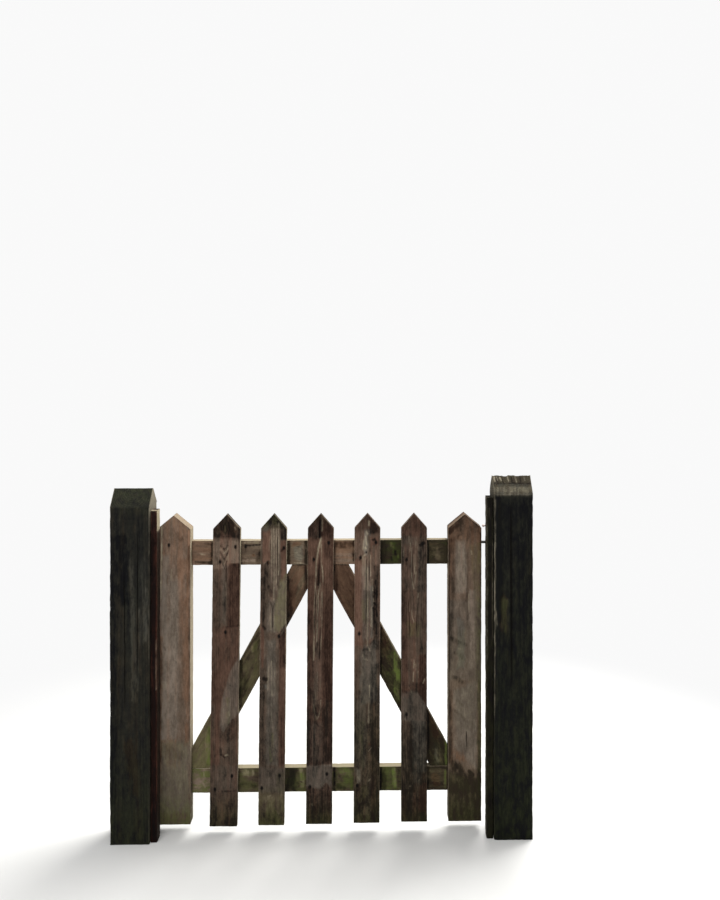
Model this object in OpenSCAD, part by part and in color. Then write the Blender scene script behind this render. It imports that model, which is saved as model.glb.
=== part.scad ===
// Framed timber picket gate with its two posts, stop battens, T-hinges and latch.
// X runs across the opening from the hinge post to the latch post, Y runs from the
// path in front to the garden behind, and Z is up. The leaf opens towards +Y.
// The origin is the centre of the hinge post's foot, at ground level.

/* [Posts] */
// Width of a post across the opening
post_w = 110; // [90:5:150]
// Depth of a post from front to back
post_d = 100; // [90:5:150]
// Height of the hinge post's eaves above the leaf's points
hinge_eaves_up = 30; // [10:1:300]
// Height of the latch post's eaves above the leaf's points
latch_eaves_up = 64; // [30:1:300]
// Rise of a post's weathered top from eaves to ridge
post_top_rise = 49; // [20:1:70]
// Chamfer along a post's upright edges
post_chamfer = 3; // [1:0.5:8]

/* [Stop battens] */
// Thickness of a stop batten, measured out from its post
stop_t = 19; // [12:1:26]
// How far a stop batten's front edge lies behind the post's front face
stop_setback = 10; // [0:1:15]
// Clearance between the stops' back edges and the leaf's front
stop_gap = 6; // [5:1:12]
// Distance from a post's eaves down to the top of its stop batten
stop_drop = 9; // [0:1:60]

/* [Leaf] */
// Width of the leaf over its two stiles
leaf_w = 915; // [700:5:1200]
// Height of the stiles and pickets up to the shoulders of their points
shoulder_h = 830; // [780:5:900]
// Rise of a stile's point above its shoulders
point_rise = 39; // [20:1:60]
// Gap below the leaf
ground_gap = 27; // [20:1:60]
// Gap between the hinge post and the leaf
hinge_gap = 7.5; // [6:0.5:12]
// Gap between the leaf and the latch post
latch_gap = 27.5; // [24:0.5:32]
// Chamfer along the edges of the leaf's boards
board_chamfer = 1.5; // [0.5:0.5:3]

/* [Stiles] */
// Width of a stile
stile_w = 95; // [80:5:120]
// Thickness of a stile
stile_t = 45; // [40:1:60]

/* [Pickets] */
// Number of pickets between the stiles
picket_count = 5; // [3:1:7]
// Width of a picket
picket_w = 74; // [50:1:85]
// How much wider than that the first picket is
first_picket_more = 4; // [0:1:6]
// Thickness of a picket
picket_t = 20; // [12:1:24]
// Rise of a picket's point above its shoulders
picket_rise = 42; // [20:1:60]
// How far the first picket reaches below the stiles, which eases to none at the last
picket_foot_down = 7; // [0:0.5:12]
// Lean of the first picket from upright, in degrees, which eases to none at the last
picket_lean = 0.7; // [0:0.1:1]

/* [Rails and braces] */
// Width of a rail
rail_w = 70; // [60:1:100]
// Thickness of the rails and braces
rail_t = 25; // [20:1:30]
// Height of the bottom rail's lower edge above the leaf's foot
bottom_rail_up = 79; // [60:1:150]
// Distance from the leaf's shoulders down to the top rail's upper edge
top_rail_down = 36; // [30:1:160]
// Width of a brace
brace_w = 72; // [50:1:90]
// Distance along the bottom rail from a stile to a brace's lower edge
brace_foot_in = 50; // [30:1:80]
// Height of the joint where the two braces meet under the top rail
brace_nose = 5; // [2:1:15]
// Width of a rail's tenon
tenon_w = 50; // [30:1:56]
// Thickness of a rail's tenon
tenon_t = 15; // [10:1:18]
// Clearance round a tenon in its mortise
tenon_fit = 0.2; // [0.1:0.1:0.5]

/* [Hinges] */
// Thickness of the hinge plates
hinge_t = 4; // [3:0.5:5]
// Diameter of a hinge pin
pin_d = 7; // [6:0.5:10]
// Radial running clearance between a pin and a knuckle
pin_fit = 0.05; // [0.03:0.01:0.08]
// Height of the strap's knuckle, which is also the strap's width at its root
strap_w = 38; // [30:1:45]
// Width of the strap just before its rounded end
strap_end_w = 20; // [16:1:26]
// Diameter of the strap's rounded end
strap_end_d = 27; // [24:1:34]
// Length of the strap from the pin to the centre of its rounded end
strap_l = 300; // [250:5:400]
// Height of the fixed plate
plate_h = 110; // [100:5:130]
// Width of the fixed plate on the post
plate_w = 42; // [36:1:46]
// Gap between one knuckle and the next
knuckle_gap = 0.5; // [0.3:0.1:1]
// Thickness of a pin's head
pin_head_t = 2.5; // [2:0.5:4]

/* [Screw holes] */
// Diameter of a screw hole
screw_d = 4.5; // [4:0.5:6]
// Diameter of a screw hole's countersink
sink_d = 8.5; // [8:0.5:9.5]
// Distance from the pin to the pair of screws at the strap's root
strap_pair_x = 30; // [24:1:40]
// Height of each of that pair above or below the strap's middle
strap_pair_z = 10; // [8:1:12]
// Number of screws along the strap beyond that pair, with the last at its rounded end
strap_screws = 3; // [2:1:4]
// Distance from the fixed plate's middle to its upper and lower screws
plate_screw_z = 38; // [30:1:45]
// Distance sideways from the fixed plate's middle to its screws
plate_screw_x = 8; // [0:1:12]
// Distance from the end of a latch plate to its screws
latch_screw_in = 12; // [8:1:16]

/* [Latch] */
// Distance from the leaf's shoulders down to the striker bar
striker_down = 52; // [40:1:80]
// Diameter of the striker bar
striker_d = 8; // [7:0.5:10]
// Distance from the leaf's back to the centre of the striker bar
striker_out = 16; // [14:1:20]
// Width of the plate that carries the striker bar
striker_plate_w = 36; // [30:1:45]
// Height of the plate that carries the striker bar
striker_plate_h = 84; // [60:2:100]
// Thickness of the latch's plates
latch_t = 3; // [2:0.5:4]
// Distance from the latch post's inner face to the near cheek of the catch
catch_in = 15; // [10:1:25]
// Space between the two cheeks of the catch
catch_gap = 10; // [9:1:14]
// How far the cheeks stand out from the post
catch_out = 32; // [28:1:40]
// Height of the catch's mouth for the striker bar
mouth_h = 12; // [11:0.5:14]
// Height of the catch's cheeks
catch_h = 66; // [60:2:80]
// Distance from the bar's centre down to the catch's lower edge
catch_drop = 26; // [22:1:30]
// Width of the catch's plate on each side of the cheeks
catch_wing = 13; // [12:1:14]
// Diameter of the pawl's pivot
pivot_d = 6; // [5:0.5:8]
// Distance from the post's back to the centre of the pivot
pivot_out = 13; // [12:0.5:16]
// Distance from the bar's centre up to the centre of the pivot
pivot_up = 27; // [25:0.5:32]
// Diameter of the pivot's heads
pivot_head_d = 9; // [8:0.5:12]
// Thickness of the pivot's heads
pivot_head_t = 2; // [1:0.5:3]
// Thickness of the pawl
pawl_t = 8; // [5:0.5:8]
// Diameter of the pawl's boss round the pivot
boss_d = 16; // [14:1:20]
// Diameter of the pawl's rounded nose
nose_d = 10; // [8:1:12]
// Distance outward from the pivot to the centre of the nose
nose_out = 26; // [22:1:30]
// Distance up from the pivot to the centre of the nose
nose_up = 4; // [0:1:8]
// Diameter of the pawl's arm at the release rod
arm_d = 9; // [8:1:12]
// Distance outward from the pivot to the release rod
rod_out = 7; // [4:1:10]
// Distance up from the pivot to the release rod
rod_up = 19.5; // [18:0.5:24]
// Diameter of the release rod
rod_d = 5; // [4:0.5:7]
// Diameter of the release rod's round end
knob_d = 8; // [7:0.5:10]
// How far the release rod reaches from the post's inner face into the gap
rod_reach = 15; // [12:1:18]

/* [Hidden] */
$fn = 48;
// Overlap that keeps a cutter clear of the faces that it cuts through
eps = 1;

// Across the opening
opening_w = hinge_gap + leaf_w + latch_gap;
hinge_face_x = post_w / 2;
latch_face_x = hinge_face_x + opening_w;
leaf_x0 = hinge_face_x + hinge_gap;
leaf_x1 = leaf_x0 + leaf_w;
leaf_cx = (leaf_x0 + leaf_x1) / 2;
stile_in = leaf_w / 2 - stile_w;

// Through the leaf: posts, stiles, rails and braces share one back plane
post_front = -post_d / 2;
back = post_d / 2;
leaf_front = back - stile_t;
rail_front = back - rail_t;
picket_front = rail_front - picket_t;
stop_d = leaf_front - stop_gap - post_front - stop_setback;

// Up the leaf and the posts, from the ground
shoulder_z = ground_gap + shoulder_h;
hinge_eaves_z = shoulder_z + point_rise + hinge_eaves_up;
latch_eaves_z = shoulder_z + point_rise + latch_eaves_up;
rail_z = [ground_gap + bottom_rail_up, shoulder_z - top_rail_down - rail_w];
brace_z0 = rail_z[0] + rail_w;
brace_z1 = rail_z[1];

// Pickets at equal gaps between the stiles
picket_gap = (2 * stile_in - picket_count * picket_w) / (picket_count + 1);

// Hinge axis: the knuckles are rolled so that they touch the common back plane
knuckle_d = pin_d + 2 * pin_fit + 2 * hinge_t;
axis_x = hinge_face_x + hinge_gap / 2;
axis_y = back + knuckle_d / 2;
lug_h = (plate_h - strap_w) / 2 - knuckle_gap;
plate_x1 = axis_x - knuckle_d / 2 - knuckle_gap;
pin_head_d = knuckle_d - 2;

// Screws along a strap, from the pair at its root to the centre of its rounded end
strap_screw_step = (strap_l - strap_pair_x) / strap_screws;

// Latch: the bar leaves the stile's back, bends and crosses the gap to the catch
striker_z = shoulder_z - striker_down;
bar_y = back + striker_out;
bend_r = striker_d + 2;
catch_x0 = latch_face_x + catch_in;
catch_x1 = catch_x0 + 2 * latch_t + catch_gap;
bar_x0 = leaf_x1 - striker_plate_w / 2 - striker_d;
bar_x1 = catch_x1 + striker_d;
catch_z0 = striker_z - catch_drop;
pivot_y = back + pivot_out;
pivot_z = striker_z + pivot_up;

// A picket's middle across the opening, its width, lean and reach below the stiles
function picket_ease(i) = (picket_count - i) / max(1, picket_count - 1);
function picket_cx(i) = leaf_x0 + stile_w + picket_gap * i + picket_w * (i - 0.5);
function picket_width(i) = picket_w + (i == 1 ? first_picket_more : 0);
function picket_turn(i) = picket_lean * picket_ease(i);
function picket_foot(i) = picket_foot_down * picket_ease(i);
// A tenon's front and its lower edge above the rail's
function tenon_y() = rail_front + (rail_t - tenon_t) / 2;
function tenon_z() = (rail_w - tenon_w) / 2;

// A rectangle with its corner at the origin and chamfered corners
module planed_section(w, t, c) {
    polygon([[c, 0], [w - c, 0], [w, c], [w, t - c], [w - c, t], [c, t], [0, t - c], [0, c]]);
}

// An upright board or post with a front outline, w wide and t deep
module upright(w, t, h, c) {
    linear_extrude(h) planed_section(w, t, c);
}

// A post with a weathered top that falls to front and back from a ridge along X
module post(eaves_h) {
    color("#4a4640")
    intersection() {
        translate([-post_w / 2, post_front, 0])
            upright(post_w, post_d, eaves_h + post_top_rise, post_chamfer);
        translate([-post_w, 0, 0]) rotate([90, 0, 90]) linear_extrude(2 * post_w)
            polygon([[-post_d, 0], [post_d, 0], [post_d, eaves_h - post_top_rise],
                     [0, eaves_h + post_top_rise], [-post_d, eaves_h - post_top_rise]]);
    }
}

module stop_batten(h) {
    color("#5c4a40")
    upright(stop_t, stop_d, h, board_chamfer);
}

// An upright board, h high to its shoulders, whose top is cut to a symmetrical point
module pointed_board(w, t, h, rise) {
    intersection() {
        upright(w, t, h + rise, board_chamfer);
        translate([0, t + eps, 0]) rotate([90, 0, 0]) linear_extrude(t + 2 * eps)
            polygon([[0, 0], [w, 0], [w, h], [w / 2, h + rise], [0, h]]);
    }
}

// A stile with through mortises for both rails
module stile() {
    color("#8a7563")
    difference() {
        pointed_board(stile_w, stile_t, shoulder_h, point_rise);
        for (z = rail_z)
            translate([-eps, tenon_y() - leaf_front - tenon_fit, z - ground_gap + tenon_z() - tenon_fit])
                cube([stile_w + 2 * eps, tenon_t + 2 * tenon_fit, tenon_w + 2 * tenon_fit]);
    }
}

// A rail between the stiles with a through tenon at each end
module rail(z) {
    color("#7d6a5a")
    union() {
        translate([leaf_x0 + stile_w, back, z]) rotate([90, 0, 90])
            linear_extrude(2 * stile_in) mirror([1, 0]) planed_section(rail_t, rail_w, board_chamfer);
        translate([leaf_x0, tenon_y(), z + tenon_z()]) cube([leaf_w, tenon_t, tenon_w]);
    }
}

// The right brace: a sloping board, cut to fit the corner of stile and bottom rail at its
// foot, and the top rail and the other brace at its head
module brace() {
    rise = brace_z1 - brace_nose - brace_z0;
    run = stile_in - brace_foot_in;
    color("#75664f")
    intersection() {
        translate([run, rail_front, brace_z0]) rotate([0, -atan2(run, rise), 0]) translate([0, 0, -brace_w])
            upright(brace_w, rail_t, norm([run, rise]) + 2 * brace_w, board_chamfer);
        translate([0, rail_front - eps, brace_z0])
            cube([stile_in, rail_t + 2 * eps, brace_z1 - brace_z0]);
    }
}

// A picket turned about the middle of the stiles' height
module picket(i) {
    w = picket_width(i);
    color("#86705c")
    translate([picket_cx(i), picket_front, ground_gap + shoulder_h / 2]) rotate([0, picket_turn(i), 0])
        translate([-w / 2, 0, -shoulder_h / 2 - picket_foot(i)])
            pointed_board(w, picket_t, shoulder_h + picket_foot(i), picket_rise);
}

// A countersunk hole through a plate of thickness t on the common back plane
module screw_hole(x, z, t) {
    sink_h = (sink_d - screw_d) / 2;
    translate([x, back, z]) rotate([-90, 0, 0]) {
        translate([0, 0, -eps]) cylinder(d = screw_d, h = t + 2 * eps);
        translate([0, 0, t - sink_h]) cylinder(d1 = screw_d, d2 = sink_d + 2 * eps, h = sink_h + eps);
    }
}

// A length of knuckle round the pin, standing at height z
module knuckle(z, h) {
    translate([axis_x, axis_y, z]) cylinder(d = knuckle_d, h = h);
}

module pin_bore(z, h) {
    translate([axis_x, axis_y, z - eps]) cylinder(d = pin_d + 2 * pin_fit, h = h + 2 * eps);
}

// The fixed plate of a hinge, with its two knuckles, centred at height z
module hinge_plate(z) {
    z0 = z - plate_h / 2;
    plate_cx = plate_x1 - plate_w / 2;
    color("#3a3632")
    difference() {
        union() {
            translate([plate_x1 - plate_w, back, z0]) cube([plate_w, hinge_t, plate_h]);
            for (lug_z = [z0, z0 + plate_h - lug_h]) {
                translate([plate_x1 - eps, back, lug_z]) cube([axis_x - plate_x1 + eps, hinge_t, lug_h]);
                knuckle(lug_z, lug_h);
            }
        }
        pin_bore(z0, plate_h);
        for (side = [-1, 1]) screw_hole(plate_cx - plate_screw_x, z + side * plate_screw_z, hinge_t);
        screw_hole(plate_cx + plate_screw_x, z, hinge_t);
    }
}

// The tapered strap of a hinge, with its one knuckle, centred at height z
module hinge_strap(z) {
    color("#3a3632")
    difference() {
        union() {
            translate([axis_x, back + hinge_t, z]) rotate([90, 0, 0]) linear_extrude(hinge_t) {
                polygon([[0, -strap_w / 2], [strap_w, -strap_w / 2], [strap_l, -strap_end_w / 2],
                         [strap_l, strap_end_w / 2], [strap_w, strap_w / 2], [0, strap_w / 2]]);
                translate([strap_l, 0]) circle(d = strap_end_d);
            }
            knuckle(z - strap_w / 2, strap_w);
        }
        pin_bore(z - strap_w / 2, strap_w);
        for (side = [-1, 1]) screw_hole(axis_x + strap_pair_x, z + side * strap_pair_z, hinge_t);
        for (i = [1:strap_screws]) screw_hole(axis_x + strap_pair_x + i * strap_screw_step, z, hinge_t);
    }
}

// A hinge pin with a head on each end knuckle
module hinge_pin(z) {
    color("#4b4540")
    translate([axis_x, axis_y, z - plate_h / 2]) {
        cylinder(d = pin_d, h = plate_h);
        translate([0, 0, -pin_head_t]) cylinder(d = pin_head_d, h = pin_head_t);
        translate([0, 0, plate_h]) cylinder(d = pin_head_d, h = pin_head_t);
    }
}

// The striker: a plate on the stile's back and a round bar that turns across the gap
module striker() {
    plate_y = back + latch_t;
    leg = bar_y - bend_r - back;
    color("#3a3632")
    union() {
        difference() {
            translate([bar_x0 - striker_plate_w / 2, back, striker_z - striker_plate_h / 2])
                cube([striker_plate_w, latch_t, striker_plate_h]);
            for (side = [-1, 1])
                screw_hole(bar_x0, striker_z + side * (striker_plate_h / 2 - latch_screw_in), latch_t);
        }
        translate([bar_x0, plate_y - eps, striker_z]) rotate([-90, 0, 0])
            cylinder(d = striker_d, h = leg - latch_t + eps);
        translate([bar_x0 + bend_r, bar_y - bend_r, striker_z]) rotate([0, 0, 90])
            rotate_extrude(angle = 90) translate([bend_r, 0]) circle(d = striker_d);
        translate([bar_x0 + bend_r, bar_y, striker_z]) rotate([0, 90, 0])
            cylinder(d = striker_d, h = bar_x1 - bar_x0 - bend_r);
        translate([bar_x1, bar_y, striker_z]) sphere(d = striker_d);
    }
}

// Side outline of a cheek, seen along X: a plate with a flared mouth for the bar
module cheek_outline() {
    flare = mouth_h / 2;
    difference() {
        translate([back, catch_z0]) square([catch_out, catch_h]);
        translate([bar_y, striker_z]) circle(d = mouth_h);
        translate([bar_y, striker_z - mouth_h / 2]) square([catch_out, mouth_h]);
        polygon([[back + catch_out - flare, striker_z - mouth_h / 2],
                 [back + catch_out + eps, striker_z - mouth_h / 2 - flare - eps],
                 [back + catch_out + eps, striker_z + mouth_h / 2 + flare + eps],
                 [back + catch_out - flare, striker_z + mouth_h / 2]]);
    }
}

// The catch: a plate on the latch post's back with two cheeks that stand out from it
module catch() {
    color("#3a3632")
    difference() {
        union() {
            translate([catch_x0 - catch_wing, back, catch_z0])
                cube([catch_x1 - catch_x0 + 2 * catch_wing, latch_t, catch_h]);
            for (x = [catch_x0, catch_x1 - latch_t])
                translate([x, 0, 0]) rotate([90, 0, 90]) linear_extrude(latch_t) cheek_outline();
        }
        translate([catch_x0 - eps, pivot_y, pivot_z]) rotate([0, 90, 0])
            cylinder(d = pivot_d + 2 * pin_fit, h = catch_x1 - catch_x0 + 2 * eps);
        for (x = [catch_x0 - catch_wing / 2, catch_x1 + catch_wing / 2])
            for (z = [catch_z0 + latch_screw_in, catch_z0 + catch_h - latch_screw_in])
                screw_hole(x, z, latch_t);
    }
}

// The pawl, lifted clear of the bar, with the rod that lifts it reaching over the near cheek
module pawl() {
    nose = [pivot_y + nose_out, pivot_z + nose_up];
    arm = [pivot_y + rod_out, pivot_z + rod_up];
    mid_x = (catch_x0 + catch_x1) / 2;
    rod_x = latch_face_x - rod_reach;
    color("#5a5650")
    union() {
        difference() {
            translate([mid_x - pawl_t / 2, 0, 0]) rotate([90, 0, 90]) linear_extrude(pawl_t) {
                tapered_arm([pivot_y, pivot_z], boss_d, nose, nose_d);
                tapered_arm([pivot_y, pivot_z], boss_d, arm, arm_d);
            }
            translate([mid_x - pawl_t, pivot_y, pivot_z]) rotate([0, 90, 0])
                cylinder(d = pivot_d + 2 * pin_fit, h = 2 * pawl_t);
        }
        translate([rod_x, arm[0], arm[1]]) rotate([0, 90, 0]) cylinder(d = rod_d, h = mid_x - rod_x);
        translate([rod_x, arm[0], arm[1]]) sphere(d = knob_d);
    }
}

// A flat arm between two rounded ends, with straight sides that touch both circles
module tapered_arm(a, da, b, db) {
    way = b - a;
    turn = atan2(way[1], way[0]);
    lean = acos((da - db) / 2 / norm(way));
    translate(a) circle(d = da);
    translate(b) circle(d = db);
    polygon([for (end = [[a, da, 1], [b, db, 1], [b, db, -1], [a, da, -1]])
        end[0] + end[1] / 2 * [cos(turn + end[2] * lean), sin(turn + end[2] * lean)]]);
}

module pivot() {
    color("#5a5650")
    translate([catch_x0, pivot_y, pivot_z]) rotate([0, 90, 0]) {
        cylinder(d = pivot_d, h = catch_x1 - catch_x0);
        for (x = [-pivot_head_t, catch_x1 - catch_x0])
            translate([0, 0, x]) cylinder(d = pivot_head_d, h = pivot_head_t);
    }
}

post(hinge_eaves_z);  // hinge_post
translate([latch_face_x + post_w / 2, 0, 0]) post(latch_eaves_z);  // latch_post
translate([hinge_face_x, post_front + stop_setback, 0]) stop_batten(hinge_eaves_z - stop_drop);  // hinge_post_stop
translate([latch_face_x - stop_t, post_front + stop_setback, 0]) stop_batten(latch_eaves_z - stop_drop);  // latch_post_stop
translate([leaf_x0, leaf_front, ground_gap]) stile();  // hanging_stile
translate([leaf_x1 - stile_w, leaf_front, ground_gap]) stile();  // closing_stile
rail(rail_z[0]);  // bottom_rail
rail(rail_z[1]);  // top_rail
translate([leaf_cx, 0, 0]) mirror([1, 0, 0]) brace();  // left_brace
translate([leaf_cx, 0, 0]) brace();  // right_brace
for (i = [1:picket_count])
    picket(i);
hinge_plate(rail_z[0] + rail_w / 2);  // bottom_hinge_plate
hinge_strap(rail_z[0] + rail_w / 2);  // bottom_hinge_strap
hinge_pin(rail_z[0] + rail_w / 2);  // bottom_hinge_pin
hinge_plate(rail_z[1] + rail_w / 2);  // top_hinge_plate
hinge_strap(rail_z[1] + rail_w / 2);  // top_hinge_strap
hinge_pin(rail_z[1] + rail_w / 2);  // top_hinge_pin
striker();  // latch_striker
catch();  // latch_catch
pawl();  // latch_pawl
pivot();  // latch_pivot
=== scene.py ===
# Looks of a weathered timber picket gate between two posts.
# Every board is a grid mesh in the place of its solid, with growth rings, cracks, worn edges
# and nails, and a node material that reads the marks that this script works out for it.
import math

import bpy
import numpy as np
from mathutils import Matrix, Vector


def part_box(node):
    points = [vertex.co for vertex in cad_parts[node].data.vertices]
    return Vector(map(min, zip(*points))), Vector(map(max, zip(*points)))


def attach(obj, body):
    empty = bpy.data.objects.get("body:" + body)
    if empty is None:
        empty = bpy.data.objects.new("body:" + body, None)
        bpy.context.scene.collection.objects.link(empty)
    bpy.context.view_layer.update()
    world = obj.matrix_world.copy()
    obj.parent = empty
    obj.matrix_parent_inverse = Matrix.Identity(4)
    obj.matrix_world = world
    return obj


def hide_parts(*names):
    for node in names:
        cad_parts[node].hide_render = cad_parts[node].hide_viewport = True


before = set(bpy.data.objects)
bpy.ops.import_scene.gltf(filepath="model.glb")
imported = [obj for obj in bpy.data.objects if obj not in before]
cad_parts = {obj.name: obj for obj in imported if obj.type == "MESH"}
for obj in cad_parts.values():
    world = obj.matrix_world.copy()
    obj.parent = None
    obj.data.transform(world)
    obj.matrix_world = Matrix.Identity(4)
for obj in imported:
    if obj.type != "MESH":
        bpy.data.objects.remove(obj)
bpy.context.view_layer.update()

# Sizes in metres that the boards share with the solids, and the first picket's lean in degrees
POINT_RISE = 0.039
POST_TOP_RISE = 0.049
PICKETS = 5
PICKET_W = 0.074
FIRST_PICKET_W = 0.078
PICKET_RISE = 0.042
PICKET_FOOT_DOWN = 0.007
PICKET_LEAN = 0.7
BRACE_W = 0.072
BRACE_FOOT_IN = 0.05
BRACE_NOSE = 0.005

# Mesh: spacing across and along a board, rounding of its edges, and the bevel at its ends
STEP = 0.0022
ROW_STEP = 0.003
ARRIS = 0.0014
ARC_POINTS = 2
END_BEVEL = 0.0007
# How far a bevel's normal leans outward and up, and how steep an end's, front's or side's normal is
BEVEL_OUT, BEVEL_UP = 0.5, 0.7
END_FACING, FRONT_FACING, SIDE_FACING = 0.5, 0.45, 0.3
# A bend in a brace's cut end is looked for at this many places, and not this close to its edges
KINK_PLACES = 721
KINK_IN = 0.003

# Noise: the steps of its hash, how its bits are mixed and cut, and what each finer layer of bumps
# adds to the seed
HASH_STEPS = (374761393, 668265263, 1442695041, 1013904223)
HASH_MIX = 1274126177
HASH_SHIFTS = (13, 16)
WORD, VALUE_BITS = 0xFFFFFFFF, 0xFFFFFF
OCTAVE_SEED = 17
# What each pattern of noise adds to a board's seed
BOW_SEED, NIBBLE_SEED, RAGGED_SEED, HEART_SEED, RING_SEED = 5, 9, 11, 21, 23
CRACK_SEED, BEND_SEED, GAP_SEED = 40, 53, 57
# How far apart two boards' grain lies, for each step of the seed
GRAIN_SHIFT = (0.37, 0.11, 1.7)
SLACK, TINY = 1e-6, 1e-9

# Wear, in metres: how wide or deep and how long the bumps of each pattern are
FIBRE_WIDE, FIBRE_LONG = 0.006, 0.09
BOW_WIDE, BOW_LONG = 0.09, 0.21
NIBBLE_WIDE, NIBBLE_LONG = 0.03, 0.018
RAGGED_WIDE, RAGGED_DEEP = 0.012, 0.016
# How far a worn corner reaches into its faces, and which part of the pattern nibbles at it
CORNER_REACH = 0.0035
NIBBLE_SPAN = (0.35, 0.8)
# Growth rings: how far their heart and the rings themselves wander, and over what length
HEART_SWAY, HEART_SWAY_LONG = 0.012, 0.26
RING_SWAY, RING_SWAY_WIDE, RING_SWAY_LONG = 0.0016, 0.03, 0.16
# Cracks: how far one wanders and over what length, how wide it pulls the grid along, which part of
# its length fades at each end, and its columns in the grid, in half widths
CRACK_SWAY, CRACK_SWAY_LONG = 0.0016, 0.03
CRACK_PULL = 0.007
CRACK_FADE = 0.2
CRACK_COLUMNS = (-2, -1, 0, 1, 2)

# Photograph: size and focal length in pixels, the level camera's principal point, its place
# and how far it is turned to the right
PHOTO_W, PHOTO_H = 720, 900
FOCAL_PX = 960
HORIZON_PX = (390.6, 345)
CAMERA_AT = (0.6546, -2.706, 1.375)
CAMERA_TURN = 0.024
AHEAD = (math.sin(CAMERA_TURN), math.cos(CAMERA_TURN))

# Marks, in pixels: the bends of a border and the gaps in a stroke, across and down
BEND_PX = (2.5, 7)
GAP_PX = (1.6, 9)
# How far a border wanders, for each pixel of half width or softness
STROKE_SWAY, SHAPE_SWAY = 1.1, 2.2
# How many half widths from its line a stroke starts to fade and ends
STROKE_FADE = (0.4, 1.35)
# Strength left in a stroke's gaps, how much more there is between them, and which part is gaps
GAP_LEFT, GAP_MORE, GAP_SPAN = 0.45, 0.75, (0.3, 0.6)
# A stroke whose ends are closer than this is a spot, which has no gaps
SPOT_PX = 5
# A nail's dark spot, across and down, and the damp run below it: half width, length and strength
NAIL_PX = (0.9, 1.35)
NAIL_FADE = (1, 2.1)
DRIP_PX, DRIP_LONG_PX, DRIP_SOFT_PX, DRIP_DAMP = (0.2, 1), 6, 2, 0.25
# Bleaching and painted sky light on sides and tops also dry a place, and so lighten it, by this part of their
# strength
BLEACHED_AND_LIT_DRY = 0.6
# How much of a top's depth carries marks, where it has any
TOP_MARKS_DEEP = 0.55
# Damp, and the painted shade that its layer carries, from the lowest to the highest value is stored as 0 to 1
DAMP_AND_SHADE_SPAN = (-0.5, 1.5)

# Colours, linear
# Near black of cracks, nail holes, dark grain and the painted shadows beside the pickets
PITCH = (0.0045, 0.0035, 0.003)
MOSS = (0.084, 0.092, 0.029)
LUSH = (0.078, 0.1, 0.024)
# Pale of bleached timber; on side faces and tops it is also painted sky light
BLEACHED_AND_LIT = (0.36, 0.31, 0.215)
# Blue-grey of greyed timber, which also paints a sheen on the hinge post's face
GREYED_AND_SHEEN = (0.128, 0.123, 0.104)
RUST_DARK = (0.055, 0.02, 0.009)
RUST_LIGHT = (0.13, 0.05, 0.018)
BARE_METAL = (0.56, 0.47, 0.44)

# Ironwork: nail heads as (radius, height) stops from below the face, and how far they stand in it
NAIL_HEAD = ((0.0027, -0.0015), (0.0029, 0), (0.0026, 0.0004), (0.0012, 0.0006))
NAIL_DOWN = 0.0006
NAIL_SIDES = 14
# Screw heads: radius, half the slot's width, levels of the head's top and the slot's floor below
# the plate's face, what is left of the radius at the floor, and the core under the slot
SCREW_R = 0.004
SLOT_HALF = 0.0006
SCREW_TOP = -0.00015
SLOT_FLOOR = -0.0009
FLOOR_PART = 0.8
ARC_PARTS = 9
CORE = ((0.0022, -0.0015), (0.0031, 0))
CORE_SIDES = 16
# A slot is turned by one of so many steps of so many degrees, picked from the letters of its name,
# of which the first counts this often
SCREW_TURNS, SCREW_STEP, FIRST_LETTER = 18, 10, 3
# Places of the screws: on a plate from its upright's middle line, on a strap from the pin's axis,
# and on the striker and the catch from their ends and edges
HINGE_IRON_T = 0.004
PLATE_MIDDLE = 0.021
PLATE_SCREWS = ((-0.008, 0.038), (-0.008, -0.038), (0.008, 0))
STRAP_SCREWS = ((0.03, 0.01), (0.03, -0.01), (0.12, 0), (0.21, 0), (0.3, 0))
LATCH_IRON_T = 0.003
SCREW_FROM_END = 0.012
STRIKER_SCREW_IN = 0.018
CATCH_SCREW_IN = 0.0065
# How much of the pawl's left end is worn to bare metal, and how ragged that edge is
PAWL_BARE = 0.01
BARE_EDGE = 0.004

# Surround: half the floor's size, and from where to where it fades to white round the leaf
FLOOR_HALF = 30
FLOOR_FADE = (0.75, 1.9)
FLOOR_PATTERN = ((3, 3, 3), 3, 0.5)
FLOOR_DARK, FLOOR_LIGHT = (0.7, 0.7, 0.69), (0.76, 0.76, 0.75)
WHITE = (0.95, 0.95, 0.95)
# The sky's light on the gate, and what the camera sees behind it, as colour and strength
SKY_LIGHT = ((0.97, 0.98, 1, 1), 0.4)
SKY_SEEN = ((1, 1, 1, 1), 0.95)
# Soft lamps: name, place beside the leaf's middle line, size, watts and colour
LAMPS = (
    ("sky_front", (-0.6, -3.2, 3), 3, 125, (1, 0.99, 0.97)),
    ("sky_garden", (1.3, 1.5, 3.3), 2.6, 235, (1, 0.99, 0.96)),
)
LAMP_TARGET_Z = 0.5
SENSOR_W = 36
SEES_TO = 100

# What holds for a board whose own look doesn't say otherwise. Damp, stain, algae and side_pale are
# rows of places along the board, each followed by its value. Some damp rows also paint light and
# shade, and side_pale is partly bleaching, partly painted sky light on side faces. top_deep is where
# the top's bleaching and painted sky light fade, from front to back, and top_marks says whether marks
# reach the top. The heart is a part of the width and a distance behind the board. Rings is the space
# between two, and taper how much they grow along the board. Relief, bow, nibble and ragged are depths
# of wear, and columns are extra places of the grid, all in metres
PLAIN = {
    "damp_and_shade": (0, 0.4), "stain": (0, 0.4), "algae": (0, 0), "side_pale": (0, 0),
    "top_pale": 0, "top_deep": (0.3, 0.8), "top_marks": False,
    "heart": (0.5, 0.035), "rings": 0.0042, "taper": 0.014, "knots": (),
    "relief": 0.0004, "bow": 0.0004, "nibble": 0.001, "ragged": 0.0008,
    "arris": ARRIS, "row_step": ROW_STEP, "columns": (),
    "cracks": (), "nails": (),
}
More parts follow.
